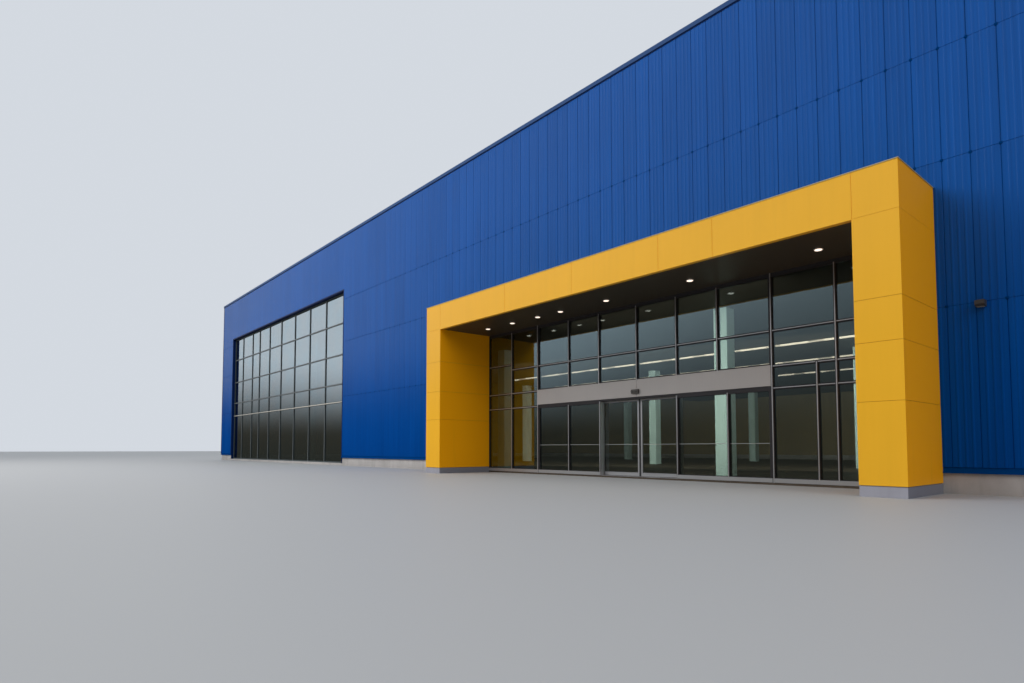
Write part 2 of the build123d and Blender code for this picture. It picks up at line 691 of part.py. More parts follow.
def shared_lines(start, end, shares):
    """The lines that part a length into spaces of the given shares."""
    return [start + (end - start) * sum(shares[:i]) / sum(shares) for i in range(1, len(shares))]


def tall_window():
    """The glazed bays beside the left corner, set back in their opening."""
    front = front_face + WINDOW_RECESS
    inner_left = window_left + WINDOW_TRIM
    inner_right = window_right - WINDOW_TRIM
    inner_top = WINDOW_TOP - WINDOW_TRIM
    bars_x = bars_between(inner_left, inner_right,
                          shared_lines(inner_left, inner_right, WINDOW_BAYS), WINDOW_BAR, WINDOW_BAR)
    bars_z = bars_between(WINDOW_SILL_HEIGHT, inner_top,
                          shared_lines(WINDOW_SILL_HEIGHT, inner_top, WINDOW_ROWS),
                          WINDOW_BAR, WINDOW_BAR)
    glass_front = front + GLASS_SETBACK
    save("window_frame", glazing_frame(bars_x, bars_z, front, WINDOW_FRAME_DEPTH))
    save("window_glass", group(panes_in(bars_x, bars_z, glass_front, GLASS_THICKNESS)))
    save("window_sill", block(window_left, window_right, front_face + PLINTH_SETBACK, front_inside,
                              0, WINDOW_SILL_HEIGHT))
    lining = block(window_left, window_right, front_face, front_inside, WINDOW_SILL_HEIGHT, WINDOW_TOP)
    clear = block(inner_left, inner_right, front_face, front_inside, WINDOW_SILL_HEIGHT, inner_top)
    save("window_trim", lining.cut(clear))


def wall_light():
    """The lamp on the wall to the right of the portal: a box with a sloped face."""
    centre = portal_right + WALL_LIGHT_FROM_PORTAL
    low = WALL_LIGHT_UNDERSIDE
    high = low + WALL_LIGHT_HEIGHT
    nose = front_face - WALL_LIGHT_DEPTH
    outline = [
        (front_face, low), (front_face - WALL_LIGHT_DEPTH_AT_FOOT, low),
        (nose, low + WALL_LIGHT_NOSE_HEIGHT), (nose, high), (front_face, high),
    ]
    return prism_along_x(outline, centre - WALL_LIGHT_WIDTH / 2, centre + WALL_LIGHT_WIDTH / 2)


os.makedirs("parts", exist_ok=True)
save("ground_floor", ground_floor())
plinths()
walls()
save("base_flashing", base_flashing())
coping()
roof()
inside()
portal()
entrance_glazing()
save("door_header", door_header())
save("door_track", door_track())
sliding_doors()
save("door_sensor", door_sensor())
tall_window()
save("wall_light", wall_light())
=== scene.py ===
"""Furniture store: cladding, panels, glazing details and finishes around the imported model.

Laid out as an add-on: every piece group has its operator, and main() calls them in order.
All sizes are the 1:2 model's own, in metres; X runs along the front, Y to the back, Z up.
"""

import math

import bmesh
import bpy
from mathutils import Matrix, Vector


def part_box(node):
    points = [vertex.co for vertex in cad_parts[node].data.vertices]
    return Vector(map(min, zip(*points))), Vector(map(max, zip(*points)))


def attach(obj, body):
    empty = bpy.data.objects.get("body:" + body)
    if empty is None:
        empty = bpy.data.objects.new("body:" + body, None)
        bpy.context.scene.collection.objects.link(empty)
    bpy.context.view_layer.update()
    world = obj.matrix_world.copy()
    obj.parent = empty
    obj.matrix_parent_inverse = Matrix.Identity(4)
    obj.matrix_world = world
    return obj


bl_info = {
    "name": "Furniture Store",
    "version": (1, 0, 0),
    "blender": (4, 5, 0),
    "location": "View3D > Sidebar > Store",
    "description": "Cladding, portal panels, glazing details and finishes of a furniture store",
    "category": "Add Mesh",
}

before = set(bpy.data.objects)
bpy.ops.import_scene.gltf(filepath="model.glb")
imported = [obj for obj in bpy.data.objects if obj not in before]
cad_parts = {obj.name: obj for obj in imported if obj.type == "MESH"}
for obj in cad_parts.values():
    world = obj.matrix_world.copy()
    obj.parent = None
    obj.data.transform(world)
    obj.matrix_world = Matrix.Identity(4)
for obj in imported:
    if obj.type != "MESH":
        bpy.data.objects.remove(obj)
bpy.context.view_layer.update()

# Faces of the building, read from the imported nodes
LEFT_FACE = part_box("left_wall")[0].x
RIGHT_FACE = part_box("right_wall")[1].x
FRONT_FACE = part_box("front_wall_left")[0].y
BACK_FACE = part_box("back_wall")[1].y
WALL_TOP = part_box("left_wall")[1].z
CLADDING_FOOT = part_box("base_flashing")[1].z
WINDOW_LOW, WINDOW_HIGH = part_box("window_trim")
LEFT_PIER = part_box("portal_left_pier")
RIGHT_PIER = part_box("portal_right_pier")
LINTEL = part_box("portal_lintel")
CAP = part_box("portal_cap")
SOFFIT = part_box("portal_soffit")
PORTAL_LIP = SOFFIT[0].y - LINTEL[0].y
INSIDE_LOW, INSIDE_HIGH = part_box("roof_deck")

BODY = "root"
BAR = 0.030       # width of the entrance frames' bars
RAIL = 0.060      # height of their floor rails
ALONG = 0.9       # least part of its normal for a face to look along an axis
FOLD = 0.002      # rounding of folded trims
SLIM_FOLD = 0.001
GRID_SLACK = 1e-4  # share of a tray by which a wall may miss the grid


# ---------------------------------------------------------------- settings

def length(description, default):
    return bpy.props.FloatProperty(description=description, default=default,
                                   min=0.0, precision=4, unit="LENGTH")


def lengths(description, *default):
    return bpy.props.FloatVectorProperty(description=description, default=default,
                                         size=len(default), unit="LENGTH")


def angle(description, degrees):
    return bpy.props.FloatProperty(description=description, default=math.radians(degrees),
                                   subtype="ANGLE")


def number(description, default):
    return bpy.props.FloatProperty(description=description, default=default)


def how_many(description, default):
    return bpy.props.IntProperty(description=description, default=default, min=1)


def colour(description, *default):
    return bpy.props.FloatVectorProperty(description=description, default=default,
                                         size=3, min=0.0, max=1.0, subtype="COLOR")


def own_names(group):
    """Names of the settings in a group."""
    return [name for name in group.bl_rna.properties.keys() if name not in ("rna_type", "name")]


class CladdingSettings(bpy.types.PropertyGroup):
    """Sizes of the ribbed metal trays on the walls."""
    front_trays: how_many("How many trays the whole front takes", 129)
    side_trays: how_many("How many trays each side wall takes", 75)
    depth: length("How far a tray stands out from the wall", 0.008)
    seam: length("Gap between neighbouring trays", 0.0022)
    joint: length("Gap between rows of trays", 0.0040)
    edge: length("Bevel along the sides of a tray", 0.0040)
    notch: length("Size of the cut off each corner of a tray", 0.005)
    # The plugs' dark colour is painted shade where seam and joint cross.
    plug: length("Size of the dark plug where a seam crosses a joint", 0.026)
    rib_rise: length("How far a rib stands out from its tray", 0.0031)
    rib_crown: length("Width of the flat top of a rib", 0.010)
    rib_slope: length("Width of the slope beside a rib", 0.009)
    ribs: how_many("Ribs on each tray", 3)
    joint_heights: lengths("Heights of the joints between rows of trays", 1.870, 3.370, 4.545)
    corner_leg: length("Width of each leg of a corner trim", 0.045)
    corner_rise: length("How far a corner trim stands out from the wall", 0.013)
    surround: length("Width of the trim round the tall window", 0.036)
    # The dark strip under the coping is painted shadow of its overhang.
    closure: length("Height of the dark strip under the coping", 0.020)


class PortalSettings(bpy.types.PropertyGroup):
    """Sizes of the yellow panels round the entrance."""
    thickness: length("How far a panel stands out from the portal", 0.004)
    joint: length("Gap between neighbouring panels", 0.003)
    edge: length("Bevel along the edges of a panel", 0.0015)
    base_cover: length("Thickness of the cover round the grey base", 0.009)
    base_gap: length("Shadow gap between the base cover and the panels", 0.008)
    right_joints: lengths("Heights of the joints on the right pier", 0.885, 1.440, 1.850)
    left_joints: lengths("Heights of the joints on the left pier", 0.985, 1.500, 2.050)
    lintel_joints: lengths("Joints in the lintel, from the right end of the portal",
                           1.895, 2.645, 4.135, 5.625)


class GlazingSettings(bpy.types.PropertyGroup):
    """Sizes of the seals, caps and lines on the glazing."""
    gasket_width: length("Width of the rubber round a pane", 0.005)
    gasket_depth: length("How far the rubber stands in front of a pane", 0.003)
    cap_width: length("Width of the cap on each mullion", 0.012)
    cap_depth: length("How far the cap stands out from the frame", 0.006)
    cross_width: length("Height of the cap on each cross bar", 0.010)
    cross_depth: length("How far a cross bar's cap stands out", 0.005)
    rail_inset: length("Frame left showing round the cover of a floor rail", 0.004)
    window_cap: length("Width of the caps on the tall window's bars", 0.010)
    window_cap_depth: length("How far those caps stand out", 0.002)
    band_height: length("Height of the pale band across the tall window", 0.020)
    band_depth: length("How far the pale band stands out from the frame", 0.004)
    line_level: length("Height of the line on the glass at the doors", 0.515)
    line_height: length("Width of the line on the glass at the doors", 0.007)
    line_depth: length("Thickness of the line on the glass", 0.0008)
    cover_depth: length("Thickness of the covers on the door header", 0.003)
    cover_gap: length("Gap between the covers on the door header", 0.004)
    cover_split: length("Where the covers part, from the header's left end", 2.175)
    # That bare casing is dark slate: painted shade under the covers.
    cover_foot: length("Bare casing left showing under the covers", 0.030)
    cover_rise: length("How far the covers reach up over the casing", 0.016)
    jamb_skin: length("Thickness of the covers beside the door opening", 0.0015)
    seal_width: length("Width of the seal on a leaf's meeting edge", 0.012)
    seal_depth: length("How far that seal stands in front of the leaf", 0.003)
    lens_radius: length("Radius of the lens of a soffit light", 0.038)
    lens_depth: length("How far a soffit light's lens hangs down", 0.004)
    eye_radius: length("Radius of the two eyes of the sensor", 0.013)
    eye_offset: length("Distance of each eye from the sensor's middle", 0.035)


class RoofSettings(bpy.types.PropertyGroup):
    """Sizes of the laps in the roof sheet."""
    lap_spacing: length("Distance between laps of the roof sheet", 0.75)
    lap_width: length("Width of a lap", 0.05)
    lap_rise: length("How far a lap stands up", 0.004)


class FinishSettings(bpy.types.PropertyGroup):
    """Main colours of the building."""
    cladding: colour("Painted metal of the walls", 0.0008, 0.074, 0.318)
    # This dark colour also makes the painted shadow strip under the coping.
    trim: colour("Flashings, corner trims and window surround", 0.0015, 0.013, 0.070)
    coping: colour("Metal cap round the parapet", 0.016, 0.060, 0.185)
    panel: colour("Painted panels of the portal", 0.860, 0.440, 0.026)
    base: colour("Grey feet of the portal", 0.340, 0.335, 0.380)
    soffit: colour("Dark panels under the portal", 0.062, 0.052, 0.038)
    concrete: colour("Plinths and sill", 0.545, 0.515, 0.495)
    silver: colour("Door leaves, and caps on the entrance frames", 0.620, 0.620, 0.630)
    # The door header's casing takes this colour too, as painted shade under its covers.
    slate: colour("Frames of the entrance behind their caps", 0.030, 0.028, 0.030)
    charcoal: colour("Frames of the tall window", 0.060, 0.076, 0.080)
    header: colour("Casing over the doors", 0.390, 0.365, 0.350)
    glass: colour("Tint of all glass", 0.420, 0.500, 0.440)
    floor_inside: colour("Ground concrete of the halls", 0.100, 0.076, 0.052)
    plaster: colour("Columns inside", 0.550, 0.725, 0.730)
    lining: colour("Inner faces of the walls", 0.420, 0.325, 0.185)
    ceiling: colour("Underside of the upper floor", 0.034, 0.029, 0.023)


class StageSettings(bpy.types.PropertyGroup):
    """Camera, light and floor around the building."""
    camera_place: lengths("Where the camera stands", 11.527, -15.764, 0.445)
    camera_turn: angle("How far the camera looks to the left of straight ahead", 49.580)
    camera_tilt: angle("How far the camera looks up", 2.921)
    lens: number("Focal length in millimetres on a 36 mm wide sensor", 21.533)
    shift: number("Upward shift of the lens, in picture widths", 0.0744)
    sky: colour("Plain light all round", 0.655, 0.695, 0.750)
    low_light: colour("Light all round near the floor", 0.066, 0.058, 0.046)
    sky_gain: number("How much stronger the sky lights than it looks", 1.15)
    dim_below: angle("Height angle up to which the light all round is low", 1.0)
    full_above: angle("Height angle from which the light on the left is full", 8.5)
    full_behind: angle("Height angle from which the light behind the camera is full", 32.0)
    floor: colour("Plain pale floor", 0.400, 0.400, 0.395)
    floor_reach: length("Half the width of the floor", 120.0)
    key_power: number("Watts of the soft box in front, to the left", 3250.0)
    fill_power: number("Watts of the soft box on the right", 1400.0)
    hall_power: number("Watts of daylight that falls in through the entrance", 75.0)
    inner_power: number("Watts of soft light between the columns of the hall", 300.0)


SETTINGS = {
    "store_cladding": CladdingSettings,
    "store_portal": PortalSettings,
    "store_glazing": GlazingSettings,
    "store_roof": RoofSettings,
    "store_finish": FinishSettings,
    "store_stage": StageSettings,
}


# ---------------------------------------------------------------- modelling

def only(*pieces):
    """Select these pieces and nothing else, the first of them active."""
    bpy.ops.object.select_all(action="DESELECT")
    for piece in pieces:
        piece.select_set(True)
    bpy.context.view_layer.objects.active = pieces[0]


def added(primitive, scale=(1, 1, 1), **sizes):
    """A new primitive, with its place and scale in its mesh."""
    bpy.ops.object.select_all(action="DESELECT")
    primitive(**sizes)
    piece = bpy.context.active_object
    piece.scale = scale
    bpy.ops.object.transform_apply(location=True, rotation=True, scale=True)
    return piece


def block(name, low, high):
    """A box between two corners."""
    low, high = Vector(low), Vector(high)
    piece = added(bpy.ops.mesh.primitive_cube_add, high - low, size=1, location=(low + high) / 2)
    piece.name = piece.data.name = name
    return piece


def edit(piece):
    only(piece)
    bpy.ops.object.mode_set(mode="EDIT")


def leave_edit():
    bpy.ops.object.mode_set(mode="OBJECT")


def pick(piece, test, kind="FACE"):
    """In edit mode, select the faces or edges that pass a test, and nothing else."""
    bpy.ops.mesh.select_mode(type=kind)
    bpy.ops.mesh.select_all(action="DESELECT")
    mesh = bmesh.from_edit_mesh(piece.data)
    for part in (mesh.faces if kind == "FACE" else mesh.edges):
        if test(part):
            part.select_set(True)
    bmesh.update_edit_mesh(piece.data)


def middle(part):
    """Centre of an edge or a face."""
    return sum((corner.co for corner in part.verts), Vector()) / len(part.verts)


def slice_at(point, normal, **clear):
    """In edit mode, cut the whole mesh along a plane."""
    bpy.ops.mesh.select_all(action="SELECT")
    bpy.ops.mesh.bisect(plane_co=point, plane_no=normal, use_fill=bool(clear),
                        threshold=1e-6, **clear)


def fold_out(x=0, y=0):
    """In edit mode, extrude the picked faces by so much along X and Y."""
    bpy.ops.mesh.extrude_region_move(TRANSFORM_OT_translate={"value": (x, y, 0)})


def repeat(piece, count, step):
    """Copies of a piece in a row, made one mesh."""
    if count < 2:
        return
    only(piece)
    array = piece.modifiers.new("row", "ARRAY")
    array.use_relative_offset = False
    array.use_constant_offset = True
    array.constant_offset_displace = step
    array.count = count
    bpy.ops.object.modifier_apply(modifier=array.name)


def soften(piece, width, segments=2):
    """Round the sharp edges of a piece a little."""
    only(piece)
    bpy.ops.object.shade_smooth()
    bevel = piece.modifiers.new("edges", "BEVEL")
    bevel.width = width
    bevel.segments = segments
    bevel.limit_method = "ANGLE"
    bevel.harden_normals = True
    bpy.ops.object.modifier_apply(modifier=bevel.name)


def softened(pieces, width, segments=2):
    for piece in pieces:
        soften(piece, width, segments)
    return pieces


def joined(name, pieces):
    """One piece out of several."""
    only(*pieces)
    if len(pieces) > 1:
        bpy.ops.object.join()
    piece = bpy.context.active_object
    piece.name = piece.data.name = name
    return piece


def turned(piece, turn, place):
    """Turn a piece about the upright through the origin, then move it to its place."""
    only(piece)
    piece.rotation_euler.z = turn
    piece.location = place
    bpy.ops.object.transform_apply(location=True, rotation=True, scale=True)
    return piece


def ring(name, low, high, width):
    """A flat frame facing the front: a box with its middle taken out."""
    piece = block(name, low, high)
    edit(piece)
    pick(piece, lambda face: abs(face.normal.y) > ALONG)
    bpy.ops.mesh.inset(thickness=width, depth=0)
    bpy.ops.mesh.bridge_edge_loops()
    leave_edit()
    return piece


def finished(piece, slot, finish=None, body=BODY):
    """Give a piece one finish, the slot's own unless another is named, and the body it rides on."""
    piece.data.materials.clear()
    piece.data.materials.append(FINISHES[finish or slot])
    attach(piece, body)
    return piece


def solids(node):
    """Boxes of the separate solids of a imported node, from left to right and low to high."""
    places = {}
    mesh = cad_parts[node].data
    root = {}

    def find(key):
        while root[key] != key:
            key = root[key]
        return key

    for face in mesh.polygons:
        keys = []
        for index in face.vertices:
            key = tuple(round(value, 5) for value in mesh.vertices[index].co)
            places[key] = Vector(key)
            root.setdefault(key, key)
            keys.append(find(key))
        for key in keys[1:]:
            root[find(key)] = find(keys[0])
    groups = {}
    for key in places:
        groups.setdefault(find(key), []).append(places[key])
    boxes = [(Vector(min(p[i] for p in points) for i in range(3)),
              Vector(max(p[i] for p in points) for i in range(3))) for points in groups.values()]
    return sorted(boxes, key=lambda box: (round(box[0].x, 3), round(box[0].z, 3)))


# ---------------------------------------------------------------- shading

FINISHES = {}     # the materials, by name


class Field:
    """A number that changes over a surface: a socket with arithmetic that adds Math nodes."""

    def __init__(self, finish, socket):
        self.finish = finish
        self.socket = socket

    def maths(self, operation, *others, clamp=False):
        return self.finish.node("ShaderNodeMath", {"operation": operation, "use_clamp": clamp},
                                dict(enumerate((self, *others))))

    def __add__(self, other):
        return self.maths("ADD", other)

    def __radd__(self, other):
        return self.maths("ADD", other)

    def __mul__(self, other):
        return self.maths("MULTIPLY", other)

    def __rmul__(self, other):
        return self.maths("MULTIPLY", other)

    def __sub__(self, other):
        return self.maths("SUBTRACT", other)

    def __rsub__(self, other):
        return self.finish.number(other).maths("SUBTRACT", self)

    def above(self, level):
        return self.maths("GREATER_THAN", level)

    def below(self, level):
        return self.maths("LESS_THAN", level)

    def over(self, other):
        return self.maths("DIVIDE", other)

    def size(self):
        return self.maths("ABSOLUTE")

    def floor(self):
        return self.maths("FLOOR")

    def limited(self):
        return self.maths("ADD", 0.0, clamp=True)


class Shading:
    """A node tree, its shader and the nodes that feed it."""

    def __init__(self, owner, shader, coordinates):
        owner.use_nodes = True
        self.tree = owner.node_tree
        self.shader = self.tree.nodes[shader]
        self.place = self.node("ShaderNodeTexCoord", output=coordinates)

    def set(self, socket, value):
        self.fill(self.shader.inputs[socket], value)

    def fill(self, socket, value):
        if isinstance(value, Field):
            self.tree.links.new(value.socket, socket)
        elif isinstance(value, (tuple, list)) and len(value) == 3 and socket.type == "RGBA":
            socket.default_value = (*value, 1.0)
        else:
            socket.default_value = value

    def node(self, kind, settings=None, values=None, output=0):
        """Add a node: its settings first, then the values or links of its sockets."""
        made = self.tree.nodes.new(kind)
        for name, value in (settings or {}).items():
            if name == "stops":
                ramp = made.color_ramp
                while len(ramp.elements) < len(value):
                    ramp.elements.new(1.0)
                for element, (position, tone) in zip(ramp.elements, value):
                    element.position = position
                    element.color = (tone, tone, tone, 1.0)
            else:
                setattr(made, name, value)
        for name, value in (values or {}).items():
            self.fill(made.inputs[name], value)
        return Field(self, made.outputs[output])

    def number(self, value):
        return self.node("ShaderNodeMath", {"operation": "ADD"}, {0: value, 1: 0.0})

    def axes(self, vector=None):
        """X, Y and Z of the place on the surface, or of another vector."""
        split = self.node("ShaderNodeSeparateXYZ", values={0: vector or self.place})
        return [Field(self, socket) for socket in split.socket.node.outputs]

    def smooth(self, field, start, end):
        """From 0 to 1 between two values, with soft ends."""
        return self.node("ShaderNodeMapRange", {"interpolation_type": "SMOOTHSTEP"}, {
            "Value": field, "From Min": start, "From Max": end})

    def stretched(self, *scale):
        """The place with each axis scaled, for a pattern that runs one way."""
        return self.node("ShaderNodeMapping", values={"Vector": self.place, "Scale": scale})

    def noise(self, scale, detail=3.0, roughness=0.55, place=None):
        return self.node("ShaderNodeTexNoise", None, {
            "Vector": place or self.place, "Scale": scale, "Detail": detail,
            "Roughness": roughness})

    def ramp(self, field, *stops):
        return self.node("ShaderNodeValToRGB", {"stops": stops}, {0: field})

    def blend(self, amount, first, second):
        """A colour between two, or a colour darkened towards another."""
        return self.node("ShaderNodeMix", {"data_type": "RGBA"},
                         {0: amount, 6: first, 7: second}, output=2)

    def mottled(self, field, tint, dark, light, start=0.3, end=0.7):
        """A tint from darker to lighter as a field goes from start to end."""
        return self.blend(self.ramp(field, (start, 0.0), (end, 1.0)),
                          shaded(tint, dark), shaded(tint, light))

    def bump(self, height, strength, distance):
        self.set("Normal", self.node("ShaderNodeBump", None, {
            "Height": height, "Strength": strength, "Distance": distance}))


class Finish(Shading):
    """One material: a Principled shader on the place in the object's own space."""

    def __init__(self, name, **sockets):
        self.material = FINISHES[name] = bpy.data.materials.new(name)
        super().__init__(self.material, "Principled BSDF", "Object")
        for socket, value in sockets.items():
            self.set(socket.replace("_", " "), value)


def shaded(tint, factor):
    """A colour made lighter or darker."""
    return tuple(min(1.0, value * factor) for value in tint)


def cladding_finish(name, tint, inner):
    """Painted ribbed metal outside, duller and darkened by painted shade near its foot, with
    painted shade along its seams; inner faces have the lining's colour.
    """
    own = bpy.context.scene.store_cladding
    finish = Finish(name, Specular_IOR_Level=0.0, Coat_IOR=1.29, Coat_Roughness=0.24)
    x, y, z = finish.axes()
    finish.set("Coat Weight", 0.12 + 0.88 * finish.smooth(z, 0.6, 3.4))
    front = (x - LEFT_FACE) * (own.front_trays / (RIGHT_FACE - LEFT_FACE))
    side = (y - FRONT_FACE) * (own.side_trays / (BACK_FACE - FRONT_FACE))
    across = front + x.size().above(RIGHT_FACE - 0.001) * (side - front)
    tray = across.floor()
    seam_shade = finish.ramp((across - tray - 0.5).size() * 2, (0.90, 0.0), (0.98, 1.0))
    first, second, third = (z.above(joint) for joint in own.joint_heights)
    row = first + second + third
    cell = finish.node("ShaderNodeTexWhiteNoise", {"noise_dimensions": "1D"},
                       {"W": tray + row * 211.0})
    streak = finish.noise(1.0, 4.0, 0.6, finish.stretched(26.0, 26.0, 0.35))
    cloud = finish.noise(0.35, 3.0)
    tone = 0.14 * cell + 0.75 * streak + 0.40 * cloud
    painted = finish.mottled(tone, tint, 0.80, 1.16, 0.38, 0.88)
    # Painted shade along each seam between trays, stronger on some trays than on others.
    painted = finish.blend(seam_shade * (0.03 + 0.27 * cell), painted, shaded(tint, 0.30))
    drip = finish.noise(1.0, 5.0, 0.65, finish.stretched(14.0, 14.0, 0.18))
    low = finish.ramp(z, (0.20, 1.0), (0.62, 0.0))
    grime = finish.ramp(drip, (0.42, 0.0), (0.70, 1.0)) * low * 0.30
    for joint in own.joint_heights:
        under = finish.ramp((z - (joint - 0.22)) * 4.5, (0.0, 0.0), (0.97, 1.0), (1.0, 0.0))
        grime = grime + finish.ramp(drip, (0.48, 0.0), (0.75, 1.0)) * under * 0.22
    # Painted shade: the blue grows darker towards the foot of the wall, between 0.4 and 3.6 m up.
    foot = finish.smooth(z, 0.4, 3.6)
    outside = finish.blend(0.26 - 0.26 * foot, painted, (0.0, 0.12 * tint[1], 0.42 * tint[2]))
    outside = finish.blend(grime.limited(), outside, shaded(tint, 0.42))
    if inner:
        inset = 0.05
        within = (x.above(LEFT_FACE + inset) * x.below(RIGHT_FACE - inset)
                  * y.above(FRONT_FACE + inset) * y.below(BACK_FACE - inset)
                  * z.below(INSIDE_HIGH.z))
        lining = finish.blend(finish.noise(2.0), shaded(inner, 0.92), inner)
        outside = finish.blend(within, outside, lining)
    finish.set("Base Color", outside)
    finish.set("Roughness", 0.20 + 0.12 * streak)
    finish.bump(finish.noise(1.0, 2.0, 0.5, finish.stretched(3.0, 3.0, 0.7)), 0.25, 0.004)


def painted_finish(name, tint, roughness=0.42, spread=0.10, scale=0.8, specular=0.3, sides=None,
                   coat=0.0):
    """Painted sheet with faint runs of dirt.

    Faces to the left and right may take a tint of painted light and shade, for the light that falls
    on them, and get no clear coat. The coat is duller near the ground, as on the cladding.
    """
    finish = Finish(name, Specular_IOR_Level=specular, Coat_IOR=1.34, Coat_Roughness=0.30)
    facing = finish.axes(finish.node("ShaderNodeTexCoord", output="Normal"))[0].size().above(0.7)
    finish.set("Coat Weight", finish.smooth(finish.axes()[2], 0.6, 2.8) * (coat - coat * facing))
    cloud = finish.noise(scale, 4.0)
    run = finish.noise(1.0, 5.0, 0.6, finish.stretched(9.0, 9.0, 0.45))
    speck = finish.noise(90.0, 2.0)
    tone = finish.mottled(0.6 * cloud + 0.4 * run, tint, 1.0 - spread, 1.0 + spread)
    # Painted light and shade: faces to the left and right take the tint of the light that falls on
    # them.
    if sides:
        tone = finish.blend(facing, tone, sides)
    dirt = finish.ramp(run, (0.58, 0.0), (0.80, 1.0)) * 0.16
    finish.set("Base Color", finish.blend(dirt, tone, shaded(tint, 0.60)))
    finish.set("Roughness", roughness - 0.06 + 0.10 * cloud + 0.05 * speck)
    finish.bump(speck, 0.12, 0.0006)


def metal_finish(name, tint, roughness=0.34, grain=(4.0, 4.0, 160.0), metal=0.85):
    """Anodised or brushed metal, with a fine grain and faint handling marks."""
    finish = Finish(name, Metallic=metal)
    line = finish.noise(1.0, 4.0, 0.7, finish.stretched(*grain))
    cloud = finish.noise(1.5, 3.0)
    tone = finish.blend(0.5 * line + 0.5 * cloud, shaded(tint, 0.86), shaded(tint, 1.14))
    finish.set("Base Color", tone)
    finish.set("Roughness", roughness - 0.06 + 0.12 * line + 0.05 * cloud)
    finish.bump(line, 0.10, 0.0004)


def concrete_finish(name, tint, wet=0.16):
    """Cast concrete: blotches, pores, runs from above and a darker foot."""
    finish = Finish(name)
    z = finish.axes()[2]
    cloud = finish.noise(1.6, 6.0, 0.62)
    grit = finish.noise(120.0, 4.0, 0.7)
    pore = finish.node("ShaderNodeTexVoronoi", None, {"Vector": finish.place, "Scale": 60.0})
    hole = finish.ramp(pore, (0.06, 1.0), (0.16, 0.0))
    base = finish.mottled(cloud, tint, 0.72, 1.18)
    grain = finish.blend(0.35 * grit, base, shaded(tint, 0.55))
    run = finish.noise(1.0, 5.0, 0.6, finish.stretched(7.0, 7.0, 0.8))
    foot = finish.ramp(z, (0.02, 1.0), (0.16, 0.0)) * 0.5
    stain = (finish.ramp(run, (0.50, 0.0), (0.78, 1.0)) * 0.45 + foot * cloud).limited()
    finish.set("Base Color", finish.blend(stain, grain, shaded(tint, 0.42)))
    finish.set("Roughness", 0.86 - wet * cloud)
    finish.bump(0.6 * grit + 0.8 * cloud - 0.6 * hole, 0.35, 0.004)


def plain_finish(name, tint, roughness=0.7, scale=1.2):
    """Matt wall paint, membrane or rubber: a little uneven."""
    finish = Finish(name)
    cloud = finish.noise(scale, 5.0)
    fine = finish.noise(scale * 60.0, 3.0)
    finish.set("Base Color", finish.mottled(cloud, tint, 0.94, 1.06))
    finish.set("Roughness", roughness - 0.05 + 0.1 * fine)
    finish.bump(fine, 0.1, 0.001)


def glass_finish(name, tint, ior, coat=0.0):
    """Tinted glass with the slightest unevenness, and a mirror coating that is thinner low down."""
    finish = Finish(name, Base_Color=tint, Transmission_Weight=1.0, IOR=ior,
                    Specular_Tint=(0.68, 0.89, 1.0), Coat_IOR=4.0, Coat_Roughness=0.01)
    finish.set("Coat Weight", finish.smooth(finish.axes()[2], 0.1, 2.1) * coat)
    finish.set("Roughness", 0.004 + 0.012 * finish.noise(2.0, 2.0))
    finish.bump(finish.noise(0.7, 0.0), 0.02, 0.001)


def lamp_finish(name, tint, strength, pitch=None):
    """A lit lamp face, a little uneven; a strip is lit over two thirds of each pitch along X."""
    finish = Finish(name, Base_Color=tint, Roughness=0.5, Emission_Strength=strength)
    glow = finish.blend(finish.noise(3.0, 2.0), shaded(tint, 0.85), tint)
    if pitch:
        step = finish.axes()[0] * (1 / pitch)
        glow = finish.blend((step - step.floor()).above(0.65), glow, shaded(tint, 0.10))
    finish.set("Emission Color", glow)


def membrane_finish(name, tint):
    """Welded roof sheet with water marks and dust."""
    finish = Finish(name)
    cloud = finish.noise(0.5, 6.0, 0.65)
    pond = finish.noise(0.22, 3.0)
    fine = finish.noise(40.0, 3.0)
    tone = finish.mottled(cloud, tint, 0.82, 1.12)
    finish.set("Base Color", finish.blend(finish.ramp(pond, (0.52, 0.0), (0.60, 1.0)) * 0.35,
                                          tone, shaded(tint, 0.55)))
    finish.set("Roughness", 0.72 + 0.12 * fine)
    finish.bump(fine, 0.25, 0.002)


# ---------------------------------------------------------------- piece groups

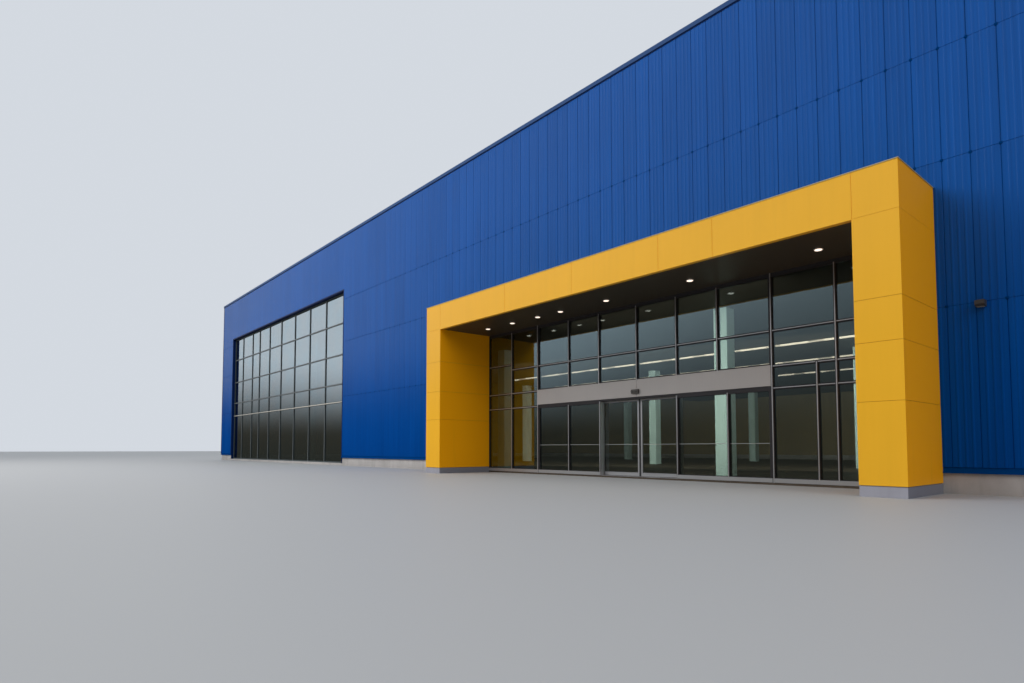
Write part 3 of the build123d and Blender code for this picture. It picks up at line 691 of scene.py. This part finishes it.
def make_finishes():
    own = bpy.context.scene.store_finish
    tint = {name: tuple(getattr(own, name)) for name in own_names(own)}
    cladding_finish("blue_cladding", tint["cladding"], tint["lining"])
    cladding_finish("cladding_trays", tint["cladding"], None)
    painted_finish("dark_blue_trim", tint["trim"], 0.40, specular=0.12)
    painted_finish("coping_metal", tint["coping"], 0.45)
    # The yellow panels' side faces are redder: painted bounce light.
    painted_finish("yellow_panel", tint["panel"], 0.45, 0.05, 0.5, 0.06,
                   sides=(1.0, 0.410, 0.004), coat=1.0)
    # The piers behind the panels are a darker yellow: painted shade in the open joints.
    plain_finish("panel_joint", shaded(tint["panel"], 0.45), 0.8)
    # The grey base's side faces are darker: painted shade.
    painted_finish("grey_base", tint["base"], 0.55, 0.14, 2.0, 0.3,
                   sides=shaded(tint["base"], 0.68))
    painted_finish("dark_soffit", tint["soffit"], 0.45, 0.12, 0.7)
    concrete_finish("plinth_concrete", tint["concrete"])
    concrete_finish("floor_concrete", tint["floor_inside"], 0.45)
    metal_finish("silver_frame", tint["silver"], 0.34, metal=0.75)
    painted_finish("slate_frame", tint["slate"], 0.45, 0.12, 2.0)
    painted_finish("charcoal_frame", tint["charcoal"], 0.38, 0.12, 2.0)
    metal_finish("header_metal", tint["header"], 0.60, (160.0, 4.0, 4.0), 0.15)
    metal_finish("cap_metal", (0.50, 0.42, 0.22), 0.50, (4.0, 4.0, 90.0), 0.2)
    metal_finish("bare_aluminium", (0.50, 0.50, 0.51), 0.32, (160.0, 4.0, 4.0))
    metal_finish("zinc_steel", (0.46, 0.47, 0.49), 0.38, (30.0, 30.0, 30.0))
    # Darker blue of the plugs: painted shade at the seam crossings.
    painted_finish("cladding_plug", shaded(tint["cladding"], 0.46), 0.5, specular=0.0)
    painted_finish("foot_flashing", shaded(tint["cladding"], 0.55), 0.4, specular=0.0)
    plain_finish("lamp_lens", (0.240, 0.270, 0.240), 0.3, 12.0)
    plain_finish("black_plastic", (0.016, 0.016, 0.017), 0.45, 8.0)
    plain_finish("sensor_case", (0.085, 0.080, 0.076), 0.5, 8.0)
    painted_finish("painted_steel", (0.42, 0.42, 0.41), 0.5)
    plain_finish("inside_plaster", tint["plaster"], 0.82)
    plain_finish("dark_ceiling", tint["ceiling"], 0.7)
    membrane_finish("roof_membrane", (0.33, 0.335, 0.34))
    glass_finish("clear_glass", tint["glass"], 2.3)
    glass_finish("window_glass", shaded(tint["glass"], 0.6), 4.0, 0.75)
    plain_finish("frosted_line", (0.30, 0.31, 0.30), 0.6, 6.0)
    lamp_finish("lamp_warm", (1.0, 0.82, 0.68), 1.5)
    lamp_finish("lamp_white", (1.0, 0.84, 0.74), 1.1, 0.9)
    metal_finish("lamp_bezel", (0.60, 0.58, 0.55), 0.4, (40.0, 40.0, 40.0), 0.4)
    painted_finish("lamp_housing", (0.050, 0.050, 0.052), 0.5, 0.15, 6.0)
    metal_finish("window_cap", (0.30, 0.31, 0.31), 0.5, (4.0, 4.0, 120.0), 0.2)
    painted_finish("pale_band", (0.66, 0.62, 0.54), 0.45, 0.08, 2.0)


class STORE_OT_finishes(bpy.types.Operator):
    """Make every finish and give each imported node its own"""
    bl_idname = "store.finishes"
    bl_label = "Finishes"

    def execute(self, context):
        make_finishes()
        special = {node: finish for finish, nodes in (
            ("lamp_bezel", ["soffit_downlights"]),
            # The piers take the darker yellow of painted shade in the joints.
            ("panel_joint", ["portal_left_pier", "portal_right_pier"]),
            ("sensor_case", ["door_sensor"]),
            ("foot_flashing", ["base_flashing"]),
            ("dark_ceiling", ["upper_floor_deck"]),
            ("coping_metal", ["front_coping", "back_coping", "side_copings"]),
            # The door header takes the dark slate: painted shade on its strip under the covers.
            ("slate_frame", ["door_header", "entrance_left_frame", "entrance_right_frame",
                             "clerestory_frame", "screen_frames"])) for node in nodes}
        for node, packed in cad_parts.items():
            packed.material_slots[0].material = FINISHES[
                special.get(node, packed.material_slots[0].material.name.split(".")[0])]
        return {"FINISHED"}


def tray(own, width, low, high):
    """One tray facing the front, with its foot at X 0 and its back on Y 0."""
    piece = block("tray", (0, -own.depth, low), (width, 0, high))
    edit(piece)
    pick(piece, lambda edge: abs(edge.verts[0].co.y - edge.verts[1].co.y) > own.depth / 2, "EDGE")
    bpy.ops.mesh.bevel(offset=own.notch, segments=1, affect="EDGES")
    half_crown = own.rib_crown / 2
    centres = [width * (i + 1) / (own.ribs + 1) for i in range(own.ribs)]
    for centre in centres:
        for offset in (-half_crown - own.rib_slope, -half_crown, half_crown,
                       half_crown + own.rib_slope):
            slice_at((centre + offset, 0, 0), (1, 0, 0))
    pick(piece, lambda face: face.normal.y < -ALONG
         and any(abs(middle(face).x - centre) < half_crown for centre in centres))
    bpy.ops.transform.translate(value=(0, -own.rib_rise, 0))
    pick(piece, lambda edge: abs(edge.verts[0].co.z - edge.verts[1].co.z) > (high - low) / 2
         and middle(edge).y < -own.depth / 2
         and (middle(edge).x < own.edge / 2 or middle(edge).x > width - own.edge / 2), "EDGE")
    bpy.ops.mesh.bevel(offset=own.edge, segments=1, affect="EDGES")
    leave_edit()
    return piece


def run_of_trays(own, module, start, end, low, high):
    """Trays on the common grid from start to end along X, cut off clean at both ends."""
    first = math.floor(start / module + GRID_SLACK)
    count = math.ceil(end / module - GRID_SLACK) - first
    piece = tray(own, module - own.seam, low + own.joint / 2, high - own.joint / 2)
    only(piece)
    piece.location.x = first * module + own.seam / 2
    bpy.ops.object.transform_apply(location=True, rotation=False, scale=False)
    repeat(piece, count, (module, 0, 0))
    edit(piece)
    if first * module < start - GRID_SLACK:
        slice_at((start, 0, 0), (1, 0, 0), clear_inner=True)
    if (first + count) * module > end + GRID_SLACK:
        slice_at((end, 0, 0), (1, 0, 0), clear_outer=True)
    leave_edit()
    return piece


def run_of_plugs(own, module, start, end, level):
    """Plugs where the seams from start to end cross one joint; their dark colour is painted shade
    of the crossing.
    """
    first = math.floor(start / module + GRID_SLACK) + 1
    count = math.ceil(end / module - GRID_SLACK) - first
    half = own.plug / 2
    x = first * module
    plug = block("plug", (x - half, -own.depth - own.rib_rise, level - half),
                 (x + half, 0, level + half))
    edit(plug)
    pick(plug, lambda face: face.normal.y < -ALONG)
    bpy.ops.mesh.inset(thickness=own.plug / 6, depth=own.rib_rise / 2)
    leave_edit()
    repeat(plug, count, (module, 0, 0))
    return plug


def corner_trim(own, turn, place, top):
    """A folded angle over the ends of the trays at one corner of the building."""
    rise = own.corner_rise
    piece = block("corner", (-rise, -rise, CLADDING_FOOT), (own.corner_leg, 0, top))
    edit(piece)
    slice_at((0, 0, 0), (1, 0, 0))
    pick(piece, lambda face: face.normal.y > ALONG and middle(face).x < 0)
    fold_out(y=own.corner_leg)
    leave_edit()
    soften(piece, FOLD)
    return turned(piece, turn, place)


class STORE_OT_cladding(bpy.types.Operator):
    """Clad the four walls with ribbed metal trays and cover the corners"""
    bl_idname = "store.cladding"
    bl_label = "Cladding"

    def execute(self, context):
        own = context.scene.store_cladding
        foot = CLADDING_FOOT - own.joint / 2
        top = WALL_TOP
        joints = list(own.joint_heights)
        rows = list(zip([foot] + joints, joints + [top]))
        full = RIGHT_FACE - LEFT_FACE
        deep = BACK_FACE - FRONT_FACE
        module = full / own.front_trays
        window = (WINDOW_LOW.x - LEFT_FACE, WINDOW_HIGH.x - LEFT_FACE)
        portal = (LINTEL[0].x - LEFT_FACE, LINTEL[1].x - LEFT_FACE)

        over_portal = CAP[1].z
        runs = []
        for low, high in rows:
            runs.append((0, window[0], low, high))
            if low >= over_portal:
                runs.append((window[1], full, low, high))
                continue
            above = [(*portal, over_portal, high)] if high > over_portal else []
            runs += [(window[1], portal[0], low, high), *above, (portal[1], full, low, high)]
        runs.append((*window, WINDOW_HIGH.z, top))
        pieces = [run_of_trays(own, module, *run) for run in runs]
        front = turned(joined("cladding_front", pieces), 0, (LEFT_FACE, FRONT_FACE, 0))
        finished(front, "blue_cladding", "cladding_trays")
        spans = [(0, window[0], level) for level in joints]
        for level in joints:
            if level > over_portal:
                spans.append((window[1], full, level))
            else:
                spans += [(window[1], portal[0], level), (portal[1], full, level)]
        plugs = [turned(run_of_plugs(own, module, *span), 0, (LEFT_FACE, FRONT_FACE, 0))
                 for span in spans]

        side_module = deep / own.side_trays
        quarter = math.pi / 2
        for name, width, pitch, turn, place in (
                ("cladding_right", deep, side_module, quarter, (RIGHT_FACE, FRONT_FACE, 0)),
                ("cladding_back", full, module, 2 * quarter, (RIGHT_FACE, BACK_FACE, 0)),
                ("cladding_left", deep, side_module, -quarter, (LEFT_FACE, BACK_FACE, 0))):
            pieces = [run_of_trays(own, pitch, 0, width, low, high) for low, high in rows]
            finished(turned(joined(name, pieces), turn, place),
                     "blue_cladding", "cladding_trays")
            plugs += [turned(run_of_plugs(own, pitch, 0, width, level), turn, place)
                      for level in joints]
        # The plugs are dark as painted shade at the crossings.
        finished(joined("cladding_plugs", plugs), "dark_blue_trim", "cladding_plug")

        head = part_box("front_coping")[0].z
        corners = [corner_trim(own, turn, place, head) for turn, place in (
            (0, (LEFT_FACE, FRONT_FACE, 0)), (quarter, (RIGHT_FACE, FRONT_FACE, 0)),
            (2 * quarter, (RIGHT_FACE, BACK_FACE, 0)), (-quarter, (LEFT_FACE, BACK_FACE, 0)))]
        finished(joined("corner_trims", corners), "dark_blue_trim")
        self.surround(own)
        self.closure(own, head)
        return {"FINISHED"}

    def surround(self, own):
        """A flat trim on the cladding round the tall window, left, right and over it."""
        low, high = WINDOW_LOW, WINDOW_HIGH
        face = FRONT_FACE - own.corner_rise
        head = high.z + own.surround
        trims = [block("surround", (start, face, CLADDING_FOOT),
                       (start + own.surround, FRONT_FACE, head))
                 for start in (low.x - own.surround, high.x)]
        trims.append(block("surround", (low.x, face, high.z), (high.x, FRONT_FACE, head)))
        finished(joined("window_surround", softened(trims, FOLD)), "dark_blue_trim")

    def closure(self, own, head):
        """A dark strip on the cladding under the coping, all round: painted shadow of the coping's
        overhang.
        """
        rise = own.corner_rise + 0.001
        left, right, front, back = (LEFT_FACE - rise, RIGHT_FACE + rise,
                                    FRONT_FACE - rise, BACK_FACE + rise)
        strips = [block("closure", (x, y, head - own.closure), (end_x, end_y, head))
                  for x, y, end_x, end_y in ((left, front, right, FRONT_FACE),
                                             (left, BACK_FACE, right, back),
                                             (left, FRONT_FACE, LEFT_FACE, BACK_FACE),
                                             (RIGHT_FACE, FRONT_FACE, right, BACK_FACE))]
        finished(joined("coping_closure", softened(strips, FOLD)), "dark_blue_trim")


def wrapped(name, box, inward, skin, foot, head, edge):
    """A cover round the front and the sides of one pier, with the return to the glazing line."""
    outer, inner = (box[0].x, box[1].x) if inward > 0 else (box[1].x, box[0].x)
    sides = (outer - inward * skin, inner + inward * skin)
    piece = block(name, (min(sides), box[0].y - skin, foot), (max(sides), FRONT_FACE, head))
    edit(piece)
    slice_at((inner, 0, 0), (1, 0, 0))
    pick(piece, lambda face: face.normal.y > ALONG and (middle(face).x - inner) * inward > 0)
    fold_out(y=box[1].y - FRONT_FACE)
    leave_edit()
    soften(piece, edge)
    return piece


def pier_panels(own, name, pier, inward, joints):
    """Panels wrapped round one pier, row over row."""
    heights = [pier[0].z, *joints, pier[1].z]
    rows = []
    for low, high in zip(heights, heights[1:]):
        foot = low if low == heights[0] else low + own.joint / 2
        head = high if high == heights[-1] else high - own.joint / 2
        rows.append(wrapped(name, pier, inward, own.thickness, foot, head, own.edge))
    return finished(joined(name, rows), "yellow_panel")


def base_covers(own):
    """Grey covers round the two bases, with a shadow gap under the yellow panels."""
    covers = [wrapped("base", box, inward, own.base_cover, box[0].z, box[1].z - own.base_gap,
                      own.edge)
              for box, inward in zip(solids("portal_bases"), (1, -1))]
    return finished(joined("base_covers", covers), "grey_base")


def lintel_panels(own):
    """Panels of the lintel: a block on each pier and a row of trays between them."""
    skin = own.thickness
    gap = own.joint / 2
    left, right = SOFFIT[0].x, SOFFIT[1].x
    low, high = LINTEL[0].z, LINTEL[1].z
    front = LINTEL[0].y - skin
    pieces = [
        block("lintel", (LINTEL[0].x - skin, front, low + gap), (left - gap, FRONT_FACE, high)),
        block("lintel", (right + gap, front, low + gap), (LINTEL[1].x + skin, FRONT_FACE, high)),
    ]
    breaks = [left] + sorted(LINTEL[1].x - offset for offset in own.lintel_joints) + [right]
    for start, end in zip(breaks, breaks[1:]):
        piece = block("lintel", (start + gap, front, low - skin),
                      (end - gap, LINTEL[0].y, high))
        edit(piece)
        slice_at((0, 0, low), (0, 0, 1))
        pick(piece, lambda face: face.normal.y > ALONG and middle(face).z < low)
        fold_out(y=PORTAL_LIP)
        leave_edit()
        pieces.append(piece)
    return finished(joined("lintel_panels", softened(pieces, own.edge)), "yellow_panel")


class STORE_OT_portal(bpy.types.Operator):
    """Wrap the portal in panels with open joints"""
    bl_idname = "store.portal"
    bl_label = "Portal panels"

    def execute(self, context):
        own = context.scene.store_portal
        pier_panels(own, "right_pier_panels", RIGHT_PIER, -1, own.right_joints)
        pier_panels(own, "left_pier_panels", LEFT_PIER, 1, own.left_joints)
        lintel_panels(own)
        base_covers(own)
        return {"FINISHED"}


def gaskets(own, name, nodes, body=BODY):
    """Rubber round every pane of these nodes."""
    rings = []
    for node in nodes:
        for low, high in solids(node):
            rings.append(ring(name, (low.x, low.y - own.gasket_depth, low.z),
                              (high.x, low.y, high.z), own.gasket_width))
    return finished(joined(name, rings), "black_plastic", body=body)


def glass_lines(own, name, nodes, body=BODY):
    """The line across each pane at the doors, on its outer face."""
    low_z = own.line_level - own.line_height / 2
    strips = []
    for node in nodes:
        for low, high in solids(node):
            if low.z < low_z < high.z:
                strip = block(name, (low.x + own.gasket_width, low.y - own.line_depth, low_z),
                              (high.x - own.gasket_width, low.y, low_z + own.line_height))
                strips.append(strip)
    strips = softened(strips, own.line_depth / 3, 1)
    return finished(joined(name, strips), "clear_glass", "frosted_line", body)


def bar_caps(panes, face, own):
    """Caps on the bars between neighbouring panes of one node, uprights and cross bars."""
    widest_bar = 0.06
    half = own.cap_width / 2
    cross_half = own.cross_width / 2
    caps = []
    for low, high in panes:
        for other_low, other_high in panes:
            beside = other_low.x - high.x
            over = other_low.z - high.z
            start = Vector(map(max, low, other_low))
            end = Vector(map(min, high, other_high))
            if 0 < beside < widest_bar and end.z > start.z:
                x = high.x + beside / 2
                caps.append(block("cap", (x - half, face - own.cap_depth, start.z - beside / 2),
                                  (x + half, face, end.z + beside / 2)))
            if 0 < over < widest_bar and end.x > start.x:
                z = high.z + over / 2
                caps.append(block("cap", (start.x, face - own.cross_depth, z - cross_half),
                                  (end.x, face, z + cross_half)))
    return caps


class STORE_OT_glazing(bpy.types.Operator):
    """Add the rubber, the glass lines and the caps of the glazing"""
    bl_idname = "store.glazing"
    bl_label = "Glazing details"

    def execute(self, context):
        own = context.scene.store_glazing
        fixed = ["entrance_left_glass", "entrance_right_glass", "clerestory_glass", "screen_glass"]
        gaskets(own, "entrance_gaskets", fixed)
        gaskets(own, "window_gaskets", ["window_glass"])
        glass_lines(own, "screen_glass_lines", ["screen_glass"])
        for side in ("left", "right"):
            body = f"{side}_leaf"
            gaskets(own, f"{side}_leaf_gaskets", [f"{side}_leaf_glass"], body)
            glass_lines(own, f"{side}_leaf_glass_line", [f"{side}_leaf_glass"], body)
            self.meeting_seal(own, side, body)
        self.entrance_caps(own, fixed)
        self.window_caps(own)
        return {"FINISHED"}

    def meeting_seal(self, own, side, body):
        """The rubber on the edge where a leaf meets the other one."""
        low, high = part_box(f"{side}_leaf_frame")
        start = high.x - own.seal_width if side == "left" else low.x
        seal = block(f"{side}_leaf_seal", (start, low.y - own.seal_depth, low.z),
                     (start + own.seal_width, low.y, high.z))
        soften(seal, SLIM_FOLD)
        finished(seal, "black_plastic", body=body)

    def entrance_caps(self, own, nodes):
        """Slim caps on the bars of the entrance, and covers on its floor rails."""
        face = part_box("clerestory_frame")[0].y
        foot, head = (corner.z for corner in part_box("screen_frames"))
        header_low, header_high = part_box("door_header")
        left_screen, right_screen = solids("screen_frames")
        left_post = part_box("entrance_left_frame")[1].x - BAR / 2
        right_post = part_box("entrance_right_frame")[0].x + BAR / 2
        top = SOFFIT[0].z
        half = own.cap_width / 2
        caps = [cap for node in nodes for cap in bar_caps(solids(node), face, own)]
        for x, start, end in ((left_post, foot, header_low.z + own.cover_foot),
                              (left_post, header_high.z + own.cover_rise, top),
                              (right_post, foot, top),
                              (left_screen[1].x - BAR / 2, foot, head),
                              (right_screen[0].x + BAR / 2, foot, head)):
            caps.append(block("cap", (x - half, face - own.cap_depth, start),
                              (x + half, face, end)))
        inset = own.rail_inset
        for node in ("entrance_left_frame", "entrance_right_frame", "screen_frames"):
            for start, end in solids(node):
                caps.append(block("cap", (start.x + inset, face - own.cross_depth / 2,
                                          start.z + inset),
                                  (end.x - inset, face, start.z + RAIL - inset)))
        for x in (left_screen[1].x, right_screen[0].x - own.jamb_skin):
            caps.append(block("cap", (x, face, foot), (x + own.jamb_skin, left_screen[1].y, head)))
        for cap in caps:
            soften(cap, min(0.0015, min(cap.dimensions) / 3))
        finished(joined("entrance_caps", caps), "silver_frame")

    def window_caps(self, own):
        """Slim caps on the bars of the tall window, and its pale band."""
        panes = solids("window_glass")
        low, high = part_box("window_frame")
        face = low.y

        def bars(axis):
            """Middles of the bars between neighbouring panes along X or Z."""
            starts, ends = (sorted({round(box[i][axis], 4) for box in panes}) for i in (0, 1))
            return [(a + b) / 2 for a, b in zip(ends, starts[1:])]

        levels = bars(2)
        half = own.window_cap / 2
        front = face - own.window_cap_depth
        caps = [block("cap", (x - half, front, low.z), (x + half, face, levels[0]))
                for x in bars(0)]
        caps += [block("cap", (low.x, front, z - half), (high.x, face, z + half))
                 for z in levels[1:]]
        finished(joined("window_caps", softened(caps, SLIM_FOLD)), "charcoal_frame", "window_cap")
        half = own.band_height / 2
        band = block("window_band", (low.x, face - own.band_depth, levels[0] - half),
                     (high.x, face, levels[0] + half))
        edit(band)
        pick(band, lambda side: side.normal.y < -ALONG)
        bpy.ops.mesh.inset(thickness=0.005, depth=0.002)
        leave_edit()
        soften(band, SLIM_FOLD)
        finished(band, "cap_metal", "pale_band")


class STORE_OT_door_gear(bpy.types.Operator):
    """Add the covers on the door header and the windows of the sensor"""
    bl_idname = "store.door_gear"
    bl_label = "Door header details"

    def execute(self, context):
        own = context.scene.store_glazing
        low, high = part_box("door_header")
        split = low.x + own.cover_split
        gap = own.cover_gap / 2
        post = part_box("screen_frames")[0].y
        covers = [block("cover", (start, post - own.cover_depth, low.z + own.cover_foot),
                        (end, low.y, high.z + own.cover_rise))
                  for start, end in ((low.x, split - gap), (split + gap, high.x))]
        edit(covers[0])
        slice_at((0, post, 0), (0, 1, 0))
        pick(covers[0], lambda face: face.normal.x < -ALONG and middle(face).y < post)
        fold_out(x=-BAR)
        leave_edit()
        finished(joined("header_covers", softened(covers, 0.0012)), "header_metal")
        low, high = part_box("door_sensor")
        middle_x = (low.x + high.x) / 2
        set_back, level = 0.011, 0.030
        eyes = []
        for offset in (-own.eye_offset, own.eye_offset):
            eye = added(bpy.ops.mesh.primitive_uv_sphere_add, (1.0, 0.75, 0.8),
                        segments=20, ring_count=10, radius=own.eye_radius,
                        location=(middle_x + offset, low.y + set_back, low.z + level))
            bpy.ops.object.shade_smooth()
            eyes.append(eye)
        finished(joined("sensor_eyes", eyes), "black_plastic")
        return {"FINISHED"}


class STORE_OT_lamps(bpy.types.Operator):
    """Add the lenses of the soffit lights and of the wall light"""
    bl_idname = "store.lamps"
    bl_label = "Lamp lenses"

    def execute(self, context):
        own = context.scene.store_glazing
        lenses = []
        for low, high in solids("soffit_downlights"):
            x, y = (low.x + high.x) / 2, (low.y + high.y) / 2
            lens = added(bpy.ops.mesh.primitive_cylinder_add, vertices=32,
                         radius=own.lens_radius, depth=own.lens_depth,
                         location=(x, y, low.z - own.lens_depth / 2))
            edit(lens)
            pick(lens, lambda face: face.normal.z < -ALONG)
            for rim, drop in ((0.006, 0.002), (0.010, 0.001)):
                bpy.ops.mesh.inset(thickness=rim, depth=drop)
            leave_edit()
            bpy.ops.object.shade_smooth_by_angle(angle=math.radians(35))
            lenses.append(lens)
        finished(joined("downlight_lenses", lenses), "lamp_warm")
        low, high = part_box("wall_light")
        side, front, back, drop = 0.010, 0.032, 0.016, 0.004
        lens = block("wall_light_lens", (low.x + side, low.y + front, low.z - drop),
                     (high.x - side, high.y - back, low.z))
        soften(lens, 0.0015)
        finished(lens, "lamp_housing", "lamp_lens")
        return {"FINISHED"}


class STORE_OT_roof(bpy.types.Operator):
    """Add the laps of the roof sheet"""
    bl_idname = "store.roof"
    bl_label = "Roof details"

    def execute(self, context):
        own = context.scene.store_roof
        top = INSIDE_HIGH.z
        count = math.floor((INSIDE_HIGH.x - INSIDE_LOW.x) / own.lap_spacing)
        lap = block("roof_laps", (INSIDE_LOW.x + own.lap_spacing / 2, INSIDE_LOW.y, top),
                    (INSIDE_LOW.x + own.lap_spacing / 2 + own.lap_width, INSIDE_HIGH.y,
                     top + own.lap_rise))
        soften(lap, own.lap_rise / 3, 1)
        repeat(lap, count, (own.lap_spacing, 0, 0))
        finished(lap, "roof_membrane")
        return {"FINISHED"}


class STORE_OT_stage(bpy.types.Operator):
    """Set the floor, the light and the camera"""
    bl_idname = "store.stage"
    bl_label = "Stage"

    def execute(self, context):
        own = context.scene.store_stage
        scene = context.scene
        bpy.ops.object.select_all(action="DESELECT")
        bpy.ops.mesh.primitive_plane_add(size=2 * own.floor_reach)
        floor = bpy.context.active_object
        floor.name = "stage_floor"
        ground = Finish("stage_floor", Base_Color=tuple(own.floor), Roughness=0.6)
        floor.data.materials.append(ground.material)
        floor.visible_glossy = floor.visible_transmission = False

        scene.world = bpy.data.worlds.new("studio")
        sky = Shading(scene.world, "Background", "Generated")
        plain = tuple(own.sky)
        across, _, up = sky.axes()
        dim, left, behind = (math.sin(height) for height in (own.dim_below, own.full_above,
                                                             own.full_behind))
        reach = sky.smooth(across, -0.85, -0.15) * (behind - left) + (left - dim)
        rise = sky.smooth((up - dim).over(reach), 0.0, 1.0)
        seen = sky.node("ShaderNodeLightPath", output="Is Camera Ray")
        full = shaded(plain, own.sky_gain)
        sky.set("Color", sky.blend(seen, sky.blend(rise, tuple(own.low_light), full), plain))

        hall_low, hall_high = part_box("clerestory_frame")
        for name, power, width, height, place, target in (
                ("key_light", own.key_power, 16.0, 16.0, (-6.0, -26.0, 15.0),
                 (1.0, FRONT_FACE, 3.0)),
                ("fill_light", own.fill_power, 14.0, 14.0, (34.0, -18.0, 14.0), (15.0, 0.0, 3.0)),
                ("inner_light", own.inner_power, 14.0, 2.0, (4.0, -4.5, 1.5), (2.0, 4.0, 1.3)),
                ("hall_light", own.hall_power, hall_high.x - hall_low.x, hall_high.z,
                 ((hall_low.x + hall_high.x) / 2, hall_high.y + 0.15, hall_high.z / 2),
                 ((hall_low.x + hall_high.x) / 2, BACK_FACE, hall_high.z / 2))):
            lamp = bpy.data.objects.new(name, bpy.data.lights.new(name, "AREA"))
            lamp.data.energy = power
            lamp.data.shape = "RECTANGLE"
            lamp.data.size, lamp.data.size_y = width, height
            lamp.data.color = (1.0, 0.98, 0.95)
            lamp.visible_camera = lamp.visible_glossy = lamp.visible_transmission = False
            lamp.location = place
            back = Vector(place) - Vector(target)
            lamp.rotation_euler = back.to_track_quat("Z", "Y").to_euler()
            scene.collection.objects.link(lamp)

        camera = bpy.data.objects.new("camera", bpy.data.cameras.new("camera"))
        camera.location = own.camera_place
        camera.rotation_euler = (math.pi / 2 + own.camera_tilt, 0, own.camera_turn)
        camera.data.sensor_width = 36.0
        camera.data.lens = own.lens
        camera.data.shift_y = own.shift
        camera.data.clip_end = 500.0
        scene.collection.objects.link(camera)
        scene.camera = camera

        scene.view_settings.view_transform = "Standard"
        scene.view_settings.look = "None"
        return {"FINISHED"}


# ---------------------------------------------------------------- add-on

OPERATORS = (
    STORE_OT_finishes, STORE_OT_cladding, STORE_OT_portal, STORE_OT_glazing,
    STORE_OT_door_gear, STORE_OT_lamps, STORE_OT_roof, STORE_OT_stage,
)


class STORE_PT_panel(bpy.types.Panel):
    """Settings and operators of the furniture store"""
    bl_idname = "STORE_PT_panel"
    bl_label = "Furniture Store"
    bl_space_type = "VIEW_3D"
    bl_region_type = "UI"
    bl_category = "Store"

    def draw(self, context):
        for operator in OPERATORS:
            self.layout.operator(operator.bl_idname)
        for key in SETTINGS:
            group = getattr(context.scene, key)
            box = self.layout.box()
            for name in own_names(group):
                box.prop(group, name, text=name.replace("_", " ").capitalize())


def register():
    for cls in (*SETTINGS.values(), *OPERATORS, STORE_PT_panel):
        bpy.utils.register_class(cls)
    for key, cls in SETTINGS.items():
        setattr(bpy.types.Scene, key, bpy.props.PointerProperty(type=cls))


def unregister():
    for key in SETTINGS:
        delattr(bpy.types.Scene, key)
    for cls in (STORE_PT_panel, *reversed(OPERATORS), *reversed(SETTINGS.values())):
        bpy.utils.unregister_class(cls)


def main():
    register()
    bpy.ops.store.finishes()
    bpy.ops.store.cladding()
    bpy.ops.store.portal()
    bpy.ops.store.glazing()
    bpy.ops.store.door_gear()
    bpy.ops.store.lamps()
    bpy.ops.store.roof()
    bpy.ops.store.stage()


if __name__ == "__main__":
    main()
